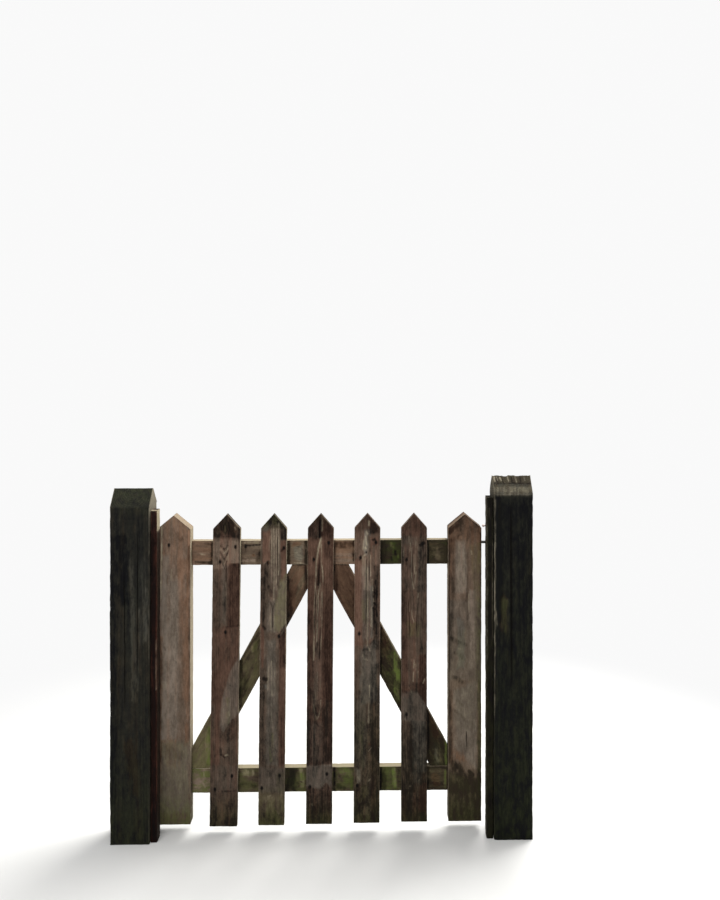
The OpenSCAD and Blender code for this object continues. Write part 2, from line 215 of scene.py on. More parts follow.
# Kinds of strokes and shapes. Some add to a layer of paint, or take from it with the sign given. Of
# the others the strongest mark counts
# The damp and dark kinds also carry painted shade, such as the shadows beside the pickets, and the dry kind
# also paints sky light on side faces and tops
KINDS = ("dark", "pale", "damp_and_shade", "dry_and_lit", "warm", "cool", "algae", "lush")
ADDING_KINDS = {"damp_and_shade": ("damp_and_shade", 1), "dry_and_lit": ("damp_and_shade", -1), "warm": ("stain", 1)}


def rail_band(node):
    """Lowest and highest level of a rail."""
    low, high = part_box(node)
    return low.z, high.z


TOP_RAIL = rail_band("top_rail")
BOTTOM_RAIL = rail_band("bottom_rail")
LEAF_CX = (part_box("hanging_stile")[0].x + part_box("closing_stile")[1].x) / 2
STILE_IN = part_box("closing_stile")[0].x - LEAF_CX


def smooth(x, low, high):
    """0 below low, 1 above high, and smooth between."""
    t = np.clip((x - low) / (high - low), 0, 1)
    return t * t * (3 - 2 * t)


def band(x, low, high, soft):
    """1 from low to high, with borders this soft."""
    return smooth(x, low - soft, low + soft) * (1 - smooth(x, high - soft, high + soft))


def lattice(ix, iy, iz, seed):
    """A repeatable value from 0 to 1 for each whole-numbered point, from a plain integer hash."""
    h = sum(value * step for value, step in zip((ix, iy, iz, seed), HASH_STEPS))
    h = (h ^ (h >> HASH_SHIFTS[0])) & WORD
    h = (h * HASH_MIX) & WORD
    h = h ^ (h >> HASH_SHIFTS[1])
    return (h & VALUE_BITS) / VALUE_BITS


def noise(x, y, z, seed):
    """Smooth noise from 0 to 1, with one bump per unit."""
    x, y, z = np.broadcast_arrays(x, y, z)
    fx, fy, fz = np.floor(x), np.floor(y), np.floor(z)
    ux, uy, uz = x - fx, y - fy, z - fz
    ux, uy, uz = (u * u * (3 - 2 * u) for u in (ux, uy, uz))
    ix, iy, iz = fx.astype(np.int64), fy.astype(np.int64), fz.astype(np.int64)
    total = 0.0
    for dx in (0, 1):
        for dy in (0, 1):
            for dz in (0, 1):
                weight = (ux if dx else 1 - ux) * (uy if dy else 1 - uy) * (uz if dz else 1 - uz)
                total = total + weight * lattice(ix + dx, iy + dy, iz + dz, seed)
    return total


def rough_noise(x, y, z, seed, octaves=3):
    """Noise from 0 to 1 with finer bumps on the coarse ones."""
    total, size, reach = 0.0, 1.0, 0.0
    for k in range(octaves):
        total = total + size * noise(x * 2**k, y * 2**k, z * 2**k, seed + OCTAVE_SEED * k)
        reach += size
        size *= 0.5
    return total / reach


def stations(marks, step):
    """Places from the first mark to the last, at most step apart, with every mark among them."""
    out = []
    for a, b in zip(marks, marks[1:]):
        n = max(1, math.ceil((b - a) / step - SLACK))
        out += [a + (b - a) * i / n for i in range(n)]
    return out + [marks[-1]]


class Plank:
    """The grid of one board. w runs across its face, t from front to back and l along the grain."""

    def __init__(self, width, thick, low, high, columns, arris, row_step):
        self.width, self.thick = width, thick
        ws = stations(sorted({arris, width - arris, *columns}), STEP)
        ts = stations([arris, thick - arris], STEP)
        ring, normals = self.outline(ws, ts, arris)
        longest = float(np.max(high(ring[:, 0], ring[:, 1]) - low(ring[:, 0], ring[:, 1])))
        rows = max(2, math.ceil(longest / row_step))
        self.build(ring, normals, ws, ts, rows, low, high)

    def outline(self, ws, ts, arris):
        """Points round the section, counter-clockwise from the front's left end, and their normals."""
        width, thick = self.width, self.thick
        points, normals = [], []

        def side(places, normal):
            points.extend(places)
            normals.extend([normal] * len(places))

        def corner(cw, ct, start):
            for i in range(1, ARC_POINTS + 1):
                a = math.radians(start + 90 * i / (ARC_POINTS + 1))
                side([(cw + arris * math.cos(a), ct + arris * math.sin(a))], (math.cos(a), math.sin(a)))

        side([(w, 0.0) for w in ws], (0.0, -1.0))
        corner(width - arris, arris, -90)
        side([(width, t) for t in ts], (1.0, 0.0))
        corner(width - arris, thick - arris, 0)
        side([(w, thick) for w in reversed(ws)], (0.0, 1.0))
        corner(arris, thick - arris, 90)
        side([(0.0, t) for t in reversed(ts)], (-1.0, 0.0))
        corner(arris, arris, 180)
        return np.array(points), np.array(normals)

    def build(self, ring, normals, ws, ts, rows, low, high):
        """Vertices in w, t, l with their normals, and the faces."""
        count = len(ring)
        inset = 1 - 2 * END_BEVEL / np.array([self.width, self.thick])
        middle = np.array([self.width, self.thick]) / 2
        small = middle + (ring - middle) * inset
        lo, hi = low(ring[:, 0], ring[:, 1]), high(ring[:, 0], ring[:, 1])
        layers, outward = [], []

        def layer(plan, level, flat, up):
            layers.append(np.column_stack([plan, level]))
            outward.append(np.column_stack([flat, np.full(len(plan), up)]))

        layer(small, low(small[:, 0], small[:, 1]), normals * BEVEL_OUT, -BEVEL_UP)
        for i in range(rows + 1):
            layer(ring, lo + END_BEVEL + (hi - lo - 2 * END_BEVEL) * i / rows, normals, 0.0)
        layer(small, high(small[:, 0], small[:, 1]), normals * BEVEL_OUT, BEVEL_UP)
        cap = middle + (np.array([(w, t) for w in ws for t in ts]) - middle) * inset
        flat = np.zeros((len(cap), 2))
        layer(cap, low(cap[:, 0], cap[:, 1]), flat, -1.0)
        layer(cap, high(cap[:, 0], cap[:, 1]), flat, 1.0)
        self.points = np.vstack(layers)
        self.normals = np.vstack(outward)
        self.faces = []
        for i in range(rows + 2):
            a, b = i * count, (i + 1) * count
            for j in range(count):
                n = (j + 1) % count
                self.faces.append((a + j, a + n, b + n, b + j))
        grid_low = (rows + 3) * count
        for face in self.cap_faces(0, grid_low, len(ws), len(ts)):
            self.faces.append(tuple(reversed(face)))
        for face in self.cap_faces((rows + 2) * count, grid_low + len(cap), len(ws), len(ts)):
            self.faces.append(tuple(face))
        self.is_end = np.abs(self.normals[:, 2]) > END_FACING
        self.is_front = self.normals[:, 1] < -FRONT_FACING

    def cap_faces(self, first, grid, k_count, m_count):
        """Faces of one end, from the ring that starts at first to the grid inside it."""
        sides = []
        for count in (k_count, m_count, k_count, m_count):
            sides.append(range(first, first + count))
            first += count + ARC_POINTS
        front, right, back, left = sides[0], sides[1], sides[2][::-1], sides[3][::-1]
        inner = [range(grid + k * m_count, grid + (k + 1) * m_count) for k in range(k_count)]
        for k in range(k_count - 1):
            yield front[k], front[k + 1], inner[k + 1][0], inner[k][0]
            yield inner[k][-1], inner[k + 1][-1], back[k + 1], back[k]
            for m in range(m_count - 1):
                yield inner[k][m], inner[k + 1][m], inner[k + 1][m + 1], inner[k][m + 1]
        for m in range(m_count - 1):
            yield inner[-1][m], right[m], right[m + 1], inner[-1][m + 1]
            yield left[m], inner[0][m], inner[0][m + 1], left[m + 1]
        corners = (inner[-1][0], inner[-1][-1], inner[0][-1], inner[0][0])
        for side, after, corner in zip(sides, sides[1:] + sides[:1], corners):
            yield [*range(side[-1], side[-1] + ARC_POINTS + 1), after[0], corner]


def pairs(row):
    """Points from a row of numbers, two to a point."""
    return list(zip(row[::2], row[1::2]))


def along(stops, l):
    """Value at l from a row of places, each followed by its value."""
    return np.interp(l, stops[::2], stops[1::2])


def on_photo(world):
    """Where points lie in the photograph, in pixels."""
    dx, dy = world[:, 0] - CAMERA_AT[0], world[:, 1] - CAMERA_AT[1]
    away = dx * AHEAD[0] + dy * AHEAD[1]
    x = HORIZON_PX[0] + FOCAL_PX * (dx * AHEAD[1] - dy * AHEAD[0]) / away
    y = HORIZON_PX[1] - FOCAL_PX * (world[:, 2] - CAMERA_AT[2]) / away
    return x, y


def from_photo(px, py, depth):
    """The point at this depth that the photograph shows at this pixel."""
    aside, down = (px - HORIZON_PX[0]) / FOCAL_PX, (py - HORIZON_PX[1]) / FOCAL_PX
    away = (depth - CAMERA_AT[1]) / (AHEAD[1] - aside * AHEAD[0])
    x = CAMERA_AT[0] + (AHEAD[0] + aside * AHEAD[1]) * away
    return Vector((x, depth, CAMERA_AT[2] - down * away))


def near_line(x, y, line):
    """Distance in pixels from each point to a line through the given pixels."""
    best = np.full(len(x), np.inf)
    for (ax, ay), (bx, by) in zip(line, line[1:] or line):
        long = max((bx - ax) ** 2 + (by - ay) ** 2, TINY)
        t = np.clip(((x - ax) * (bx - ax) + (y - ay) * (by - ay)) / long, 0, 1)
        best = np.minimum(best, np.hypot(x - ax - t * (bx - ax), y - ay - t * (by - ay)))
    return best


def in_shape(x, y, corners):
    """How many pixels inside a closed shape each point lies, negative outside."""
    inside = np.zeros(len(x), bool)
    outline = [*corners, corners[0]]
    for (ax, ay), (bx, by) in zip(outline, outline[1:]):
        if ay != by:
            inside ^= ((ay > y) != (by > y)) & (x < ax + (y - ay) * (bx - ax) / (by - ay))
    return near_line(x, y, outline) * np.where(inside, 1, -1)


class Crack:
    """A crack in a board's front, from its line in the photograph."""

    def __init__(self, half, depth, line, origin, axes):
        self.half, self.depth = half, depth
        path = []
        for px, py in line:
            away = from_photo(px, py, origin.y) - origin
            path.append((away.dot(axes[2]), away.dot(axes[0])))
        self.places, self.across = zip(*sorted(path))
        self.middle = sum(self.across) / len(path)

    def strength(self, l):
        """1 along the middle of the crack's length, falling to 0 at its ends."""
        a, b = self.places[0], self.places[-1]
        fade = CRACK_FADE * (b - a)
        return smooth(l, a, a + fade) * (1 - smooth(l, b - fade, b))


def board(node, kind, origin, axes, size, low, high, seed, look):
    """Builds one weathered board from its grid, its marks and its material."""
    body, slot, material = kind
    look = {**PLAIN, **look}
    origin, axes = Vector(origin), [Vector(axis) for axis in axes]
    cracks = [Crack(half, depth, pairs(row), origin, axes) for half, depth, *row in look["cracks"]]
    columns = set(look["columns"])
    for crack in cracks:
        columns |= {crack.middle + k * crack.half for k in CRACK_COLUMNS}
    columns = {w for w in columns if ARRIS < w < size[0] - ARRIS}
    plank = Plank(*size, low, high, columns, look["arris"], look["row_step"])
    w, t, l = plank.points.T.copy()
    flat_w = w.copy()
    # The columns beside a crack follow it along the board
    for i, crack in enumerate(cracks):
        wander = CRACK_SWAY * (rough_noise(l / CRACK_SWAY_LONG, 0, 0, seed + CRACK_SEED + i, 2) - 0.5)
        shift = np.interp(l, crack.places, crack.across) + wander - crack.middle
        w += shift * np.exp(-(((flat_w - crack.middle) / CRACK_PULL) ** 2)) * crack.strength(l)
    worn = wear(plank, w, t, l, seed, look)
    groove = np.zeros(len(w))
    for crack in cracks:
        near = np.exp(-(((flat_w - crack.middle) / crack.half) ** 2)) * crack.strength(l) * plank.is_front
        groove = np.maximum(groove, near)
        worn += near * crack.depth
    turn = np.array([list(axis) for axis in axes])
    world = np.array(origin) + (np.column_stack([w, t, l]) - plank.normals * worn[:, None]) @ turn
    obj = mesh_object(node + "_board", world, plank.faces)
    store(obj, w, t, l, seed, paint_of(plank, w, t, l, world, groove, seed, look))
    obj.data.materials.append(material)
    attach(obj, body)
    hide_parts(node)


def wear(plank, w, t, l, seed, look):
    """How far each point has weathered back, in metres."""
    fibres = rough_noise(w / FIBRE_WIDE, t / FIBRE_WIDE, l / FIBRE_LONG, seed)
    bow = noise(l / BOW_LONG, w / BOW_WIDE, 0, seed + BOW_SEED)
    worn = look["relief"] * fibres + look["bow"] * bow
    to_side = np.minimum(w, plank.width - w)
    to_face = np.minimum(t, plank.thick - t)
    corner = np.exp(-((to_side**2 + to_face**2) ** 0.5) / CORNER_REACH)
    nibble = rough_noise(l / NIBBLE_LONG, w / NIBBLE_WIDE, t / NIBBLE_WIDE, seed + NIBBLE_SEED)
    worn += look["nibble"] * corner * smooth(nibble, *NIBBLE_SPAN)
    ragged = look["ragged"] * rough_noise(w / RAGGED_WIDE, t / RAGGED_DEEP, 0, seed + RAGGED_SEED)
    return np.where(plank.is_end, ragged, worn)


def ring_field(plank, w, t, l, seed, look):
    """Growth rings, counted outward from a heart that lies behind the board's face."""
    part, behind = look["heart"]
    sway = noise(l / HEART_SWAY_LONG, 0, 0, seed + HEART_SEED) - 0.5
    heart_w = plank.width * part + HEART_SWAY * sway
    radius = np.hypot(w - heart_w, plank.thick + behind - t)
    radius = radius + look["taper"] * l
    sway = rough_noise(w / RING_SWAY_WIDE, t / RING_SWAY_WIDE, l / RING_SWAY_LONG, seed + RING_SEED) - 0.5
    radius += RING_SWAY * sway
    for knot in look["knots"]:
        away = ((w - knot["w"]) / knot["wide"]) ** 2 + ((l - knot["l"]) / knot["tall"]) ** 2
        radius += knot["pull"] * np.exp(-away)
    return radius / look["rings"]


def corners_of(row):
    """Corners of a shape. A row of four numbers is a box: left, top, right and bottom."""
    if len(row) == 4:
        left, top, right, bottom = row
        row = (left, top, right, top, right, bottom, left, bottom)
    return pairs(row)


def covers(look, px, py, seed):
    """How strongly each stroke and each shape covers the points, with its kind. Borders are ragged."""
    wander = rough_noise(px / BEND_PX[0], 0, py / BEND_PX[1], seed + BEND_SEED) - 0.5
    gaps = rough_noise(px / GAP_PX[0], 0, py / GAP_PX[1], seed + GAP_SEED)
    broken = GAP_LEFT + GAP_MORE * smooth(gaps, *GAP_SPAN)
    for kind in KINDS:
        for half, much, *row in look.get(kind + "_strokes", ()):
            line = pairs(row)
            far = near_line(px, py, line) + STROKE_SWAY * half * wander
            fade = smooth(far, STROKE_FADE[0] * half, STROKE_FADE[1] * half)
            whole = math.dist(line[0], line[-1]) < SPOT_PX
            yield kind, (1 - fade) * much * (1 if whole else broken)
        for soft, much, *row in look.get(kind + "_shapes", ()):
            deep = in_shape(px, py, corners_of(row)) + SHAPE_SWAY * soft * wander
            yield kind, smooth(deep, -soft, soft) * much


def lay(layers, kind, cover):
    """Puts one mark on the layers of paint."""
    if kind in ADDING_KINDS:
        layer, sign = ADDING_KINDS[kind]
        layers[layer] = layers[layer] + sign * cover
    else:
        layers[kind] = np.maximum(layers[kind], cover)


def paint_of(plank, w, t, l, world, groove, seed, look):
    """What the material reads: damp with painted shade, algae, pale with painted sky light, stain, groove,
    cool, dark with painted shadows, lush and the rings.
    """
    px, py = on_photo(world)
    front = plank.is_front | (look["top_marks"] & plank.is_end & (t < plank.thick * TOP_MARKS_DEEP))
    layers = {key: along(look[key], l) for key in ("damp_and_shade", "stain", "algae")}
    for key in ("pale", "dark", "cool", "lush"):
        layers[key] = np.zeros(len(w))
    for kind, cover in covers(look, px, py, seed):
        lay(layers, kind, cover * front)
    # Side faces and upper ends, made pale, partly as bleaching and partly as painted sky light
    side = along(look["side_pale"], l) * (np.abs(plank.normals[:, 0]) > SIDE_FACING)
    upper_end = plank.is_end & (l > l.mean())
    top = look["top_pale"] * upper_end * (1 - smooth(t / plank.thick, *look["top_deep"]))
    for bleached_and_lit in (side, top):
        lay(layers, "pale", bleached_and_lit)
        lay(layers, "dry_and_lit", bleached_and_lit * BLEACHED_AND_LIT_DRY)
    for x, y in look["nails"]:
        away = np.hypot((px - x) / NAIL_PX[0], (py - y) / NAIL_PX[1])
        lay(layers, "dark", (1 - smooth(away, *NAIL_FADE)) * front)
        drip = (1 - smooth(np.abs(px - x), *DRIP_PX)) * band(py, y, y + DRIP_LONG_PX, DRIP_SOFT_PX)
        lay(layers, "damp_and_shade", DRIP_DAMP * drip * front)
    low, high = DAMP_AND_SHADE_SPAN
    damp_and_shade = (np.clip(layers["damp_and_shade"], low, high) - low) / (high - low)
    zones = np.column_stack([damp_and_shade, layers["algae"], layers["pale"], layers["stain"]])
    marks = np.column_stack([groove, layers["cool"], layers["dark"], layers["lush"]])
    rings = ring_field(plank, w, t, l, seed, look)
    return {"zones": np.clip(zones, 0, 1), "marks": np.clip(marks, 0, 1), "rings": rings}


def mesh_object(name, points, faces, smooth_shade=True):
    """A new object from points and faces, linked to the scene."""
    mesh = bpy.data.meshes.new(name)
    mesh.from_pydata([tuple(p) for p in points], [], faces)
    mesh.update()
    if smooth_shade:
        mesh.shade_smooth()
    obj = bpy.data.objects.new(name, mesh)
    bpy.context.scene.collection.objects.link(obj)
    return obj


def store(obj, w, t, l, seed, paint):
    """Keeps a board's place in the grain and its marks on its mesh, for the material."""
    mesh = obj.data
    grain = mesh.attributes.new("grain", "FLOAT_VECTOR", "POINT")
    own = np.column_stack([w, t, l]) + np.array(GRAIN_SHIFT) * seed
    grain.data.foreach_set("vector", own.astype(np.float32).ravel())
    rings = mesh.attributes.new("rings", "FLOAT", "POINT")
    rings.data.foreach_set("value", paint["rings"].astype(np.float32))
    for key in ("zones", "marks"):
        layer = mesh.attributes.new(key, "FLOAT_COLOR", "POINT")
        layer.data.foreach_set("color", paint[key].astype(np.float32).ravel())


class Graph:
    """Short ways to add and join the nodes of one material."""

    def __init__(self, name):
        self.material = bpy.data.materials.new(name)
        self.material.use_nodes = True
        self.tree = self.material.node_tree
        self.tree.nodes.clear()

    def add(self, kind, **settings):
        """A new node with these settings."""
        node = self.tree.nodes.new(kind)
        for key, value in settings.items():
            setattr(node, key, value)
        return node

    def feed(self, socket, value):
        """Joins a socket to another node's output, or sets it."""
        if isinstance(value, bpy.types.NodeSocket):
            self.tree.links.new(value, socket)
        elif isinstance(value, tuple) and len(value) == 3 and socket.type == "RGBA":
            socket.default_value = (*value, 1)
        else:
            socket.default_value = value

    def math(self, operation, a, b):
        """Two numbers made into one."""
        node = self.add("ShaderNodeMath", operation=operation)
        self.feed(node.inputs[0], a)
        self.feed(node.inputs[1], b)
        return node.outputs[0]

    def plus(self, a, b):
        """The sum of two numbers."""
        return self.math("ADD", a, b)

    def minus(self, a, b):
        """The first number less the second."""
        return self.math("SUBTRACT", a, b)

    def times(self, a, b):
        """The product of two numbers."""
        return self.math("MULTIPLY", a, b)

    def mix(self, factor, a, b, blend="MIX"):
        """Colour a where factor is 0 and b where it is 1."""
        node = self.add("ShaderNodeMix", data_type="RGBA", blend_type=blend)
        self.feed(node.inputs["Factor"], factor)
        self.feed(node.inputs[6], a)
        self.feed(node.inputs[7], b)
        return node.outputs[2]

    def shaded(self, colour, value, low, high):
        """A colour times low where value is 0 and times high where it is 1."""
        return self.mix(1.0, colour, self.mix(value, low, high), "MULTIPLY")

    def attribute(self, name):
        """The node that reads what the mesh stores under this name."""
        return self.add("ShaderNodeAttribute", attribute_name=name)

    def four_parts(self, name):
        """The red, green, blue and alpha of a stored colour."""
        stored = self.attribute(name)
        parts = self.add("ShaderNodeSeparateColor")
        self.feed(parts.inputs[0], stored.outputs["Color"])
        return (*parts.outputs[:3], stored.outputs["Alpha"])

    def noise(self, place, scale, detail, rough, warp=0.0):
        """Noise from 0 to 1 with its own scale on each axis."""
        scaled = self.add("ShaderNodeVectorMath", operation="MULTIPLY")
        self.feed(scaled.inputs[0], place)
        scaled.inputs[1].default_value = scale
        node = self.add("ShaderNodeTexNoise")
        self.feed(node.inputs["Vector"], scaled.outputs[0])
        node.inputs["Scale"].default_value = 1.0
        node.inputs["Detail"].default_value = detail
        node.inputs["Roughness"].default_value = rough
        node.inputs["Distortion"].default_value = warp
        return node.outputs[0]

    def rescale(self, value, low, high):
        """0 at low, 1 at high and smooth between."""
        node = self.add("ShaderNodeMapRange", interpolation_type="SMOOTHSTEP")
        self.feed(node.inputs[0], value)
        node.inputs[1].default_value = low
        node.inputs[2].default_value = high
        return node.outputs[0]

    def finish(self, colour, rough, height, distance, strength, specular):
        """Ends the material in a Principled shader with a bump."""
        shader = self.add("ShaderNodeBsdfPrincipled")
        self.feed(shader.inputs["Base Color"], colour)
        self.feed(shader.inputs["Roughness"], rough)
        shader.inputs["Specular IOR Level"].default_value = specular
        bump = self.add("ShaderNodeBump")
        bump.inputs["Strength"].default_value = strength
        bump.inputs["Distance"].default_value = distance
        self.feed(bump.inputs["Height"], height)
        self.feed(shader.inputs["Normal"], bump.outputs[0])
        output = self.add("ShaderNodeOutputMaterial")
        self.feed(output.inputs["Surface"], shader.outputs[0])
        return self.material


def grey(level):
    """A grey of this level."""
    return (level, level, level)


# Patterns in timber: scale across, through and along the board, detail, roughness and warp.
# The first three are fibres and streaks along the grain, the others lie anywhere
PATTERNS = {
    "fibres": ((1100, 1100, 40), 4, 0.65),
    "streaks": ((300, 300, 13), 5, 0.65, 0.4),
    "broad": ((85, 85, 5), 4, 0.6, 0.3),
    "blotches": ((60, 60, 26), 5, 0.65),
    "mottle": ((170, 170, 90), 4, 0.6),
    "specks": ((620, 620, 260), 3, 0.65),
}
# How much each pattern changes the shade: a fixed part, and a part times the wood's streakiness
SHADING = {
    "fibres": (0, 0.35), "streaks": (0, 0.55), "broad": (0, 0.75),
    "blotches": (0.95, 0), "mottle": (0.3, 0.45), "specks": (0.24, 0.36),
}
# How much each pattern adds to or takes from the stain that is left, and how high each stands,
# with the late wood, the cracks, and the holes and other dark marks, painted shadows among them
STAIN_PATCHES = {"broad": 1.6, "blotches": 0.8}
HEIGHTS = {"fibres": 0.9, "streaks": 1, "late": 0.5, "specks": 0.3, "shut": -1.6}
# Late wood: how far it wanders, where in a ring it rises and ends, and how much it darkens a board
# whose rings are fully deep
LATE_WANDER, LATE_RISE, LATE_END, LATE_DARK = 0.3, (0.3, 0.85), (1, 0.93), 0.35
# Values from the dark to the middle colour, from the middle to the light one, and where stain is left
DARK_TO_MIDDLE, MIDDLE_TO_LIGHT, STAIN_SPAN = (0, 0.55), (0.45, 1), (0.15, 0.85)
# How strong stain, greying with its painted sheen, and a crack are at most, and how much of the middle colour
# the bleaching and painted sky light keep
STAIN_MOST, GREYED_AND_SHEEN_MOST, CRACK_MOST, BLEACHED_AND_LIT_KEEPS = 0.8, 0.75, 0.95, 0.5
# What a coat's colour is multiplied by, where the wood under it is darkest and lightest
SHADES = {
    "stain": ((0.16, 0.14, 0.13), grey(1.15)), "greyed_and_sheen": (grey(0.12), grey(1.25)),
    "algae": (grey(0.3), grey(1.1)), "lush": (grey(0.35), grey(1.3)),
}
# What breaks up a coat: the specks' part of the pattern, and from where to where it is closed
PATCHES = {"algae": (0.4, 0.5, 0.8), "lush": (0.6, 0.45, 0.85), "pale": (0.5, 0.5, 0.9)}
# Roughness of dry timber, and how much smoother damp and painted shade make it
DRY_ROUGH, DAMP_AND_SHADE_SMOOTHS = 0.95, 0.18
# Patterns on iron, in the same form, how much runs add to patches, and where rust starts and closes
IRON_PATTERNS = {
    "patches": ((70, 70, 70), 5, 0.65), "grit": ((900, 900, 900), 3, 0.6), "runs": ((160, 160, 30), 4, 0.6),
}
RUN_PART, RUST_SPAN = 0.4, (0.78, 0.92)
# Roughness of the paint and of rust on it, and how high grit and rust stand
PAINT_ROUGH, RUST_ROUGH, GRIT_HEIGHT, RUST_HEIGHT = 0.55, 0.35, 0.5, 0.6


def late_wood(g, rings, blotches):
    """One dark late-wood line to a ring, with an abrupt outer edge."""
    phase = g.math("FRACT", g.plus(rings, g.times(blotches, LATE_WANDER)), 0.0)
    return g.times(g.rescale(phase, *LATE_RISE), g.rescale(phase, *LATE_END))


def patchy(g, amount, coarse, fine, fine_part, low, high):
    """An amount that is left only where two patterns together are high."""
    return g.times(amount, g.rescale(g.plus(coarse, g.times(fine, fine_part)), low, high))


def timber(name, light, middle, dark, stain, moss=MOSS, bleached_and_lit=BLEACHED_AND_LIT, ring_depth=0.5, streaky=1.0):
    """Weathered softwood: rings and fibres, remains of stain, damp and painted shade, algae, bleaching and
    painted sky light, and cracks.
    """
    g = Graph(name)
    grain = g.attribute("grain").outputs["Vector"]
    rings = g.attribute("rings").outputs["Fac"]
    damp_and_shade, algae, pale, stained = g.four_parts("zones")
    crack, cool, dark_marks_and_shade, lush = g.four_parts("marks")
    pattern = {key: g.noise(grain, *settings) for key, settings in PATTERNS.items()}
    fibres, specks, blotches = pattern["fibres"], pattern["specks"], pattern["blotches"]
    late = late_wood(g, rings, blotches)
    # How light each place is, from its damp and painted shade as it was stored and from every pattern
    low, high = DAMP_AND_SHADE_SPAN
    value = g.minus(1 - low, g.times(damp_and_shade, high - low))
    for key, (fixed, streaked) in SHADING.items():
        value = g.plus(value, g.times(g.minus(pattern[key], 0.5), fixed + streaked * streaky))
    value = g.minus(value, g.times(late, ring_depth * LATE_DARK))
    colour = g.mix(g.rescale(value, *DARK_TO_MIDDLE), dark, middle)
    colour = g.mix(g.rescale(value, *MIDDLE_TO_LIGHT), colour, light)
    # Remains of red-brown stain between greyer places
    hue = stained
    for key, much in STAIN_PATCHES.items():
        hue = g.plus(hue, g.times(g.minus(pattern[key], 0.5), much))
    reddish = g.times(g.rescale(hue, *STAIN_SPAN), STAIN_MOST)
    colour = g.mix(reddish, colour, g.shaded(stain, value, *SHADES["stain"]))
    # Greyed places, where the stain has gone, and a painted bluish sheen on the hinge post's face, then algae
    # on them
    colour = g.mix(g.times(cool, GREYED_AND_SHEEN_MOST), colour, g.shaded(GREYED_AND_SHEEN, value, *SHADES["greyed_and_sheen"]))
    mossy = patchy(g, algae, blotches, specks, *PATCHES["algae"])
    colour = g.mix(mossy, colour, g.shaded(moss, value, *SHADES["algae"]))
    growing = patchy(g, lush, blotches, specks, *PATCHES["lush"])
    colour = g.mix(growing, colour, g.shaded(LUSH, value, *SHADES["lush"]))
    # Bleached fibres and painted sky light on sides and tops, closed where the pale layer is strong
    silver = patchy(g, pale, fibres, specks, *PATCHES["pale"])
    silver = g.math("MAXIMUM", silver, g.minus(g.times(pale, 2), 1))
    dull = g.mix(BLEACHED_AND_LIT_KEEPS, bleached_and_lit, middle)
    colour = g.mix(silver, colour, g.mix(value, dull, bleached_and_lit))
    # Cracks, nail holes, dark grain and the painted shadows beside the pickets go near black
    shut = g.math("MAXIMUM", g.times(crack, CRACK_MOST), dark_marks_and_shade)
    colour = g.mix(shut, colour, PITCH)
    pattern |= {"late": late, "shut": shut}
    height = 0.0
    for key, much in HEIGHTS.items():
        height = g.plus(height, g.times(pattern[key], much))
    rough = g.minus(DRY_ROUGH, g.times(damp_and_shade, DAMP_AND_SHADE_SMOOTHS))
    return g.finish(colour, rough, height, distance=0.0014, strength=0.8, specular=0.08)


def iron(name, paint, metal, rust_much, specular=0.45, bare_to=None):
    """Old black iron: dull paint, rust where it is worn, a little grain, bare metal left of bare_to."""
    g = Graph(name)
    place = g.add("ShaderNodeTexCoord").outputs["Object"]
    patches, grit, runs = (g.noise(place, *settings) for settings in IRON_PATTERNS.values())
    start, closed = RUST_SPAN
    rusty = g.rescale(g.plus(patches, g.times(runs, RUN_PART)), start - rust_much, closed - rust_much)
    colour = g.mix(rusty, g.mix(grit, paint, metal), g.mix(grit, RUST_DARK, RUST_LIGHT))
    if bare_to is not None:
        apart = g.add("ShaderNodeSeparateXYZ")
        g.feed(apart.inputs[0], place)
        edge = g.plus(apart.outputs[0], g.times(grit, BARE_EDGE))
        colour = g.mix(g.rescale(edge, bare_to + BARE_EDGE, bare_to), colour, BARE_METAL)
    rough = g.plus(PAINT_ROUGH, g.times(rusty, RUST_ROUGH))
    height = g.plus(g.times(grit, GRIT_HEIGHT), g.times(rusty, RUST_HEIGHT))
    return g.finish(colour, rough, height, distance=0.0005, strength=0.6, specular=specular)


LEAF_WOOD = timber(
    "leaf_timber", light=(0.215, 0.16, 0.123), middle=(0.1, 0.07, 0.05), dark=(0.022, 0.015, 0.01),
    stain=(0.175, 0.098, 0.06), ring_depth=0.12, streaky=0.32)
PICKET_WOOD = timber(
    "picket_timber", light=(0.165, 0.122, 0.09), middle=(0.066, 0.047, 0.034), dark=(0.01, 0.007, 0.005),
    stain=(0.12, 0.064, 0.044), ring_depth=0.25, streaky=0.5)
BRACE_WOOD = timber(
    "brace_timber", light=(0.165, 0.126, 0.08), middle=(0.076, 0.057, 0.036), dark=(0.016, 0.01, 0.007),
    stain=(0.12, 0.064, 0.04), ring_depth=0.2, streaky=0.5)
# The stop battens' near-black colours are partly damp timber, partly painted shade
STOP_WOOD = timber(
    "stop_timber", light=(0.06, 0.04, 0.03), middle=(0.012, 0.007, 0.007), dark=(0.003, 0.002, 0.002),
    stain=(0.07, 0.022, 0.013))
# The posts' near-black colours are partly damp timber, partly painted shade
POST_WOOD = timber(
    "post_timber", light=(0.036, 0.034, 0.028), middle=(0.013, 0.0125, 0.0105), dark=(0.003, 0.003, 0.004),
    stain=(0.026, 0.017, 0.011), moss=(0.03, 0.037, 0.012), bleached_and_lit=(0.235, 0.205, 0.15),
    ring_depth=0.3, streaky=0.6)
HINGE_IRON = iron(
    "hinge_iron", paint=(0.012, 0.011, 0.01), metal=(0.03, 0.028, 0.026), rust_much=0.12)
LATCH_FINISH = {"paint": (0.014, 0.013, 0.012), "metal": (0.05, 0.048, 0.045), "rust_much": 0.05}
LATCH_IRON = iron("latch_iron", **LATCH_FINISH)
PAWL_IRON = iron("pawl_iron", **LATCH_FINISH, bare_to=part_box("latch_pawl")[0].x + PAWL_BARE)
NAIL_IRON = iron(
    "nail_iron", paint=(0.002, 0.0016, 0.0014), metal=(0.0045, 0.0035, 0.003), rust_much=0, specular=0.05)

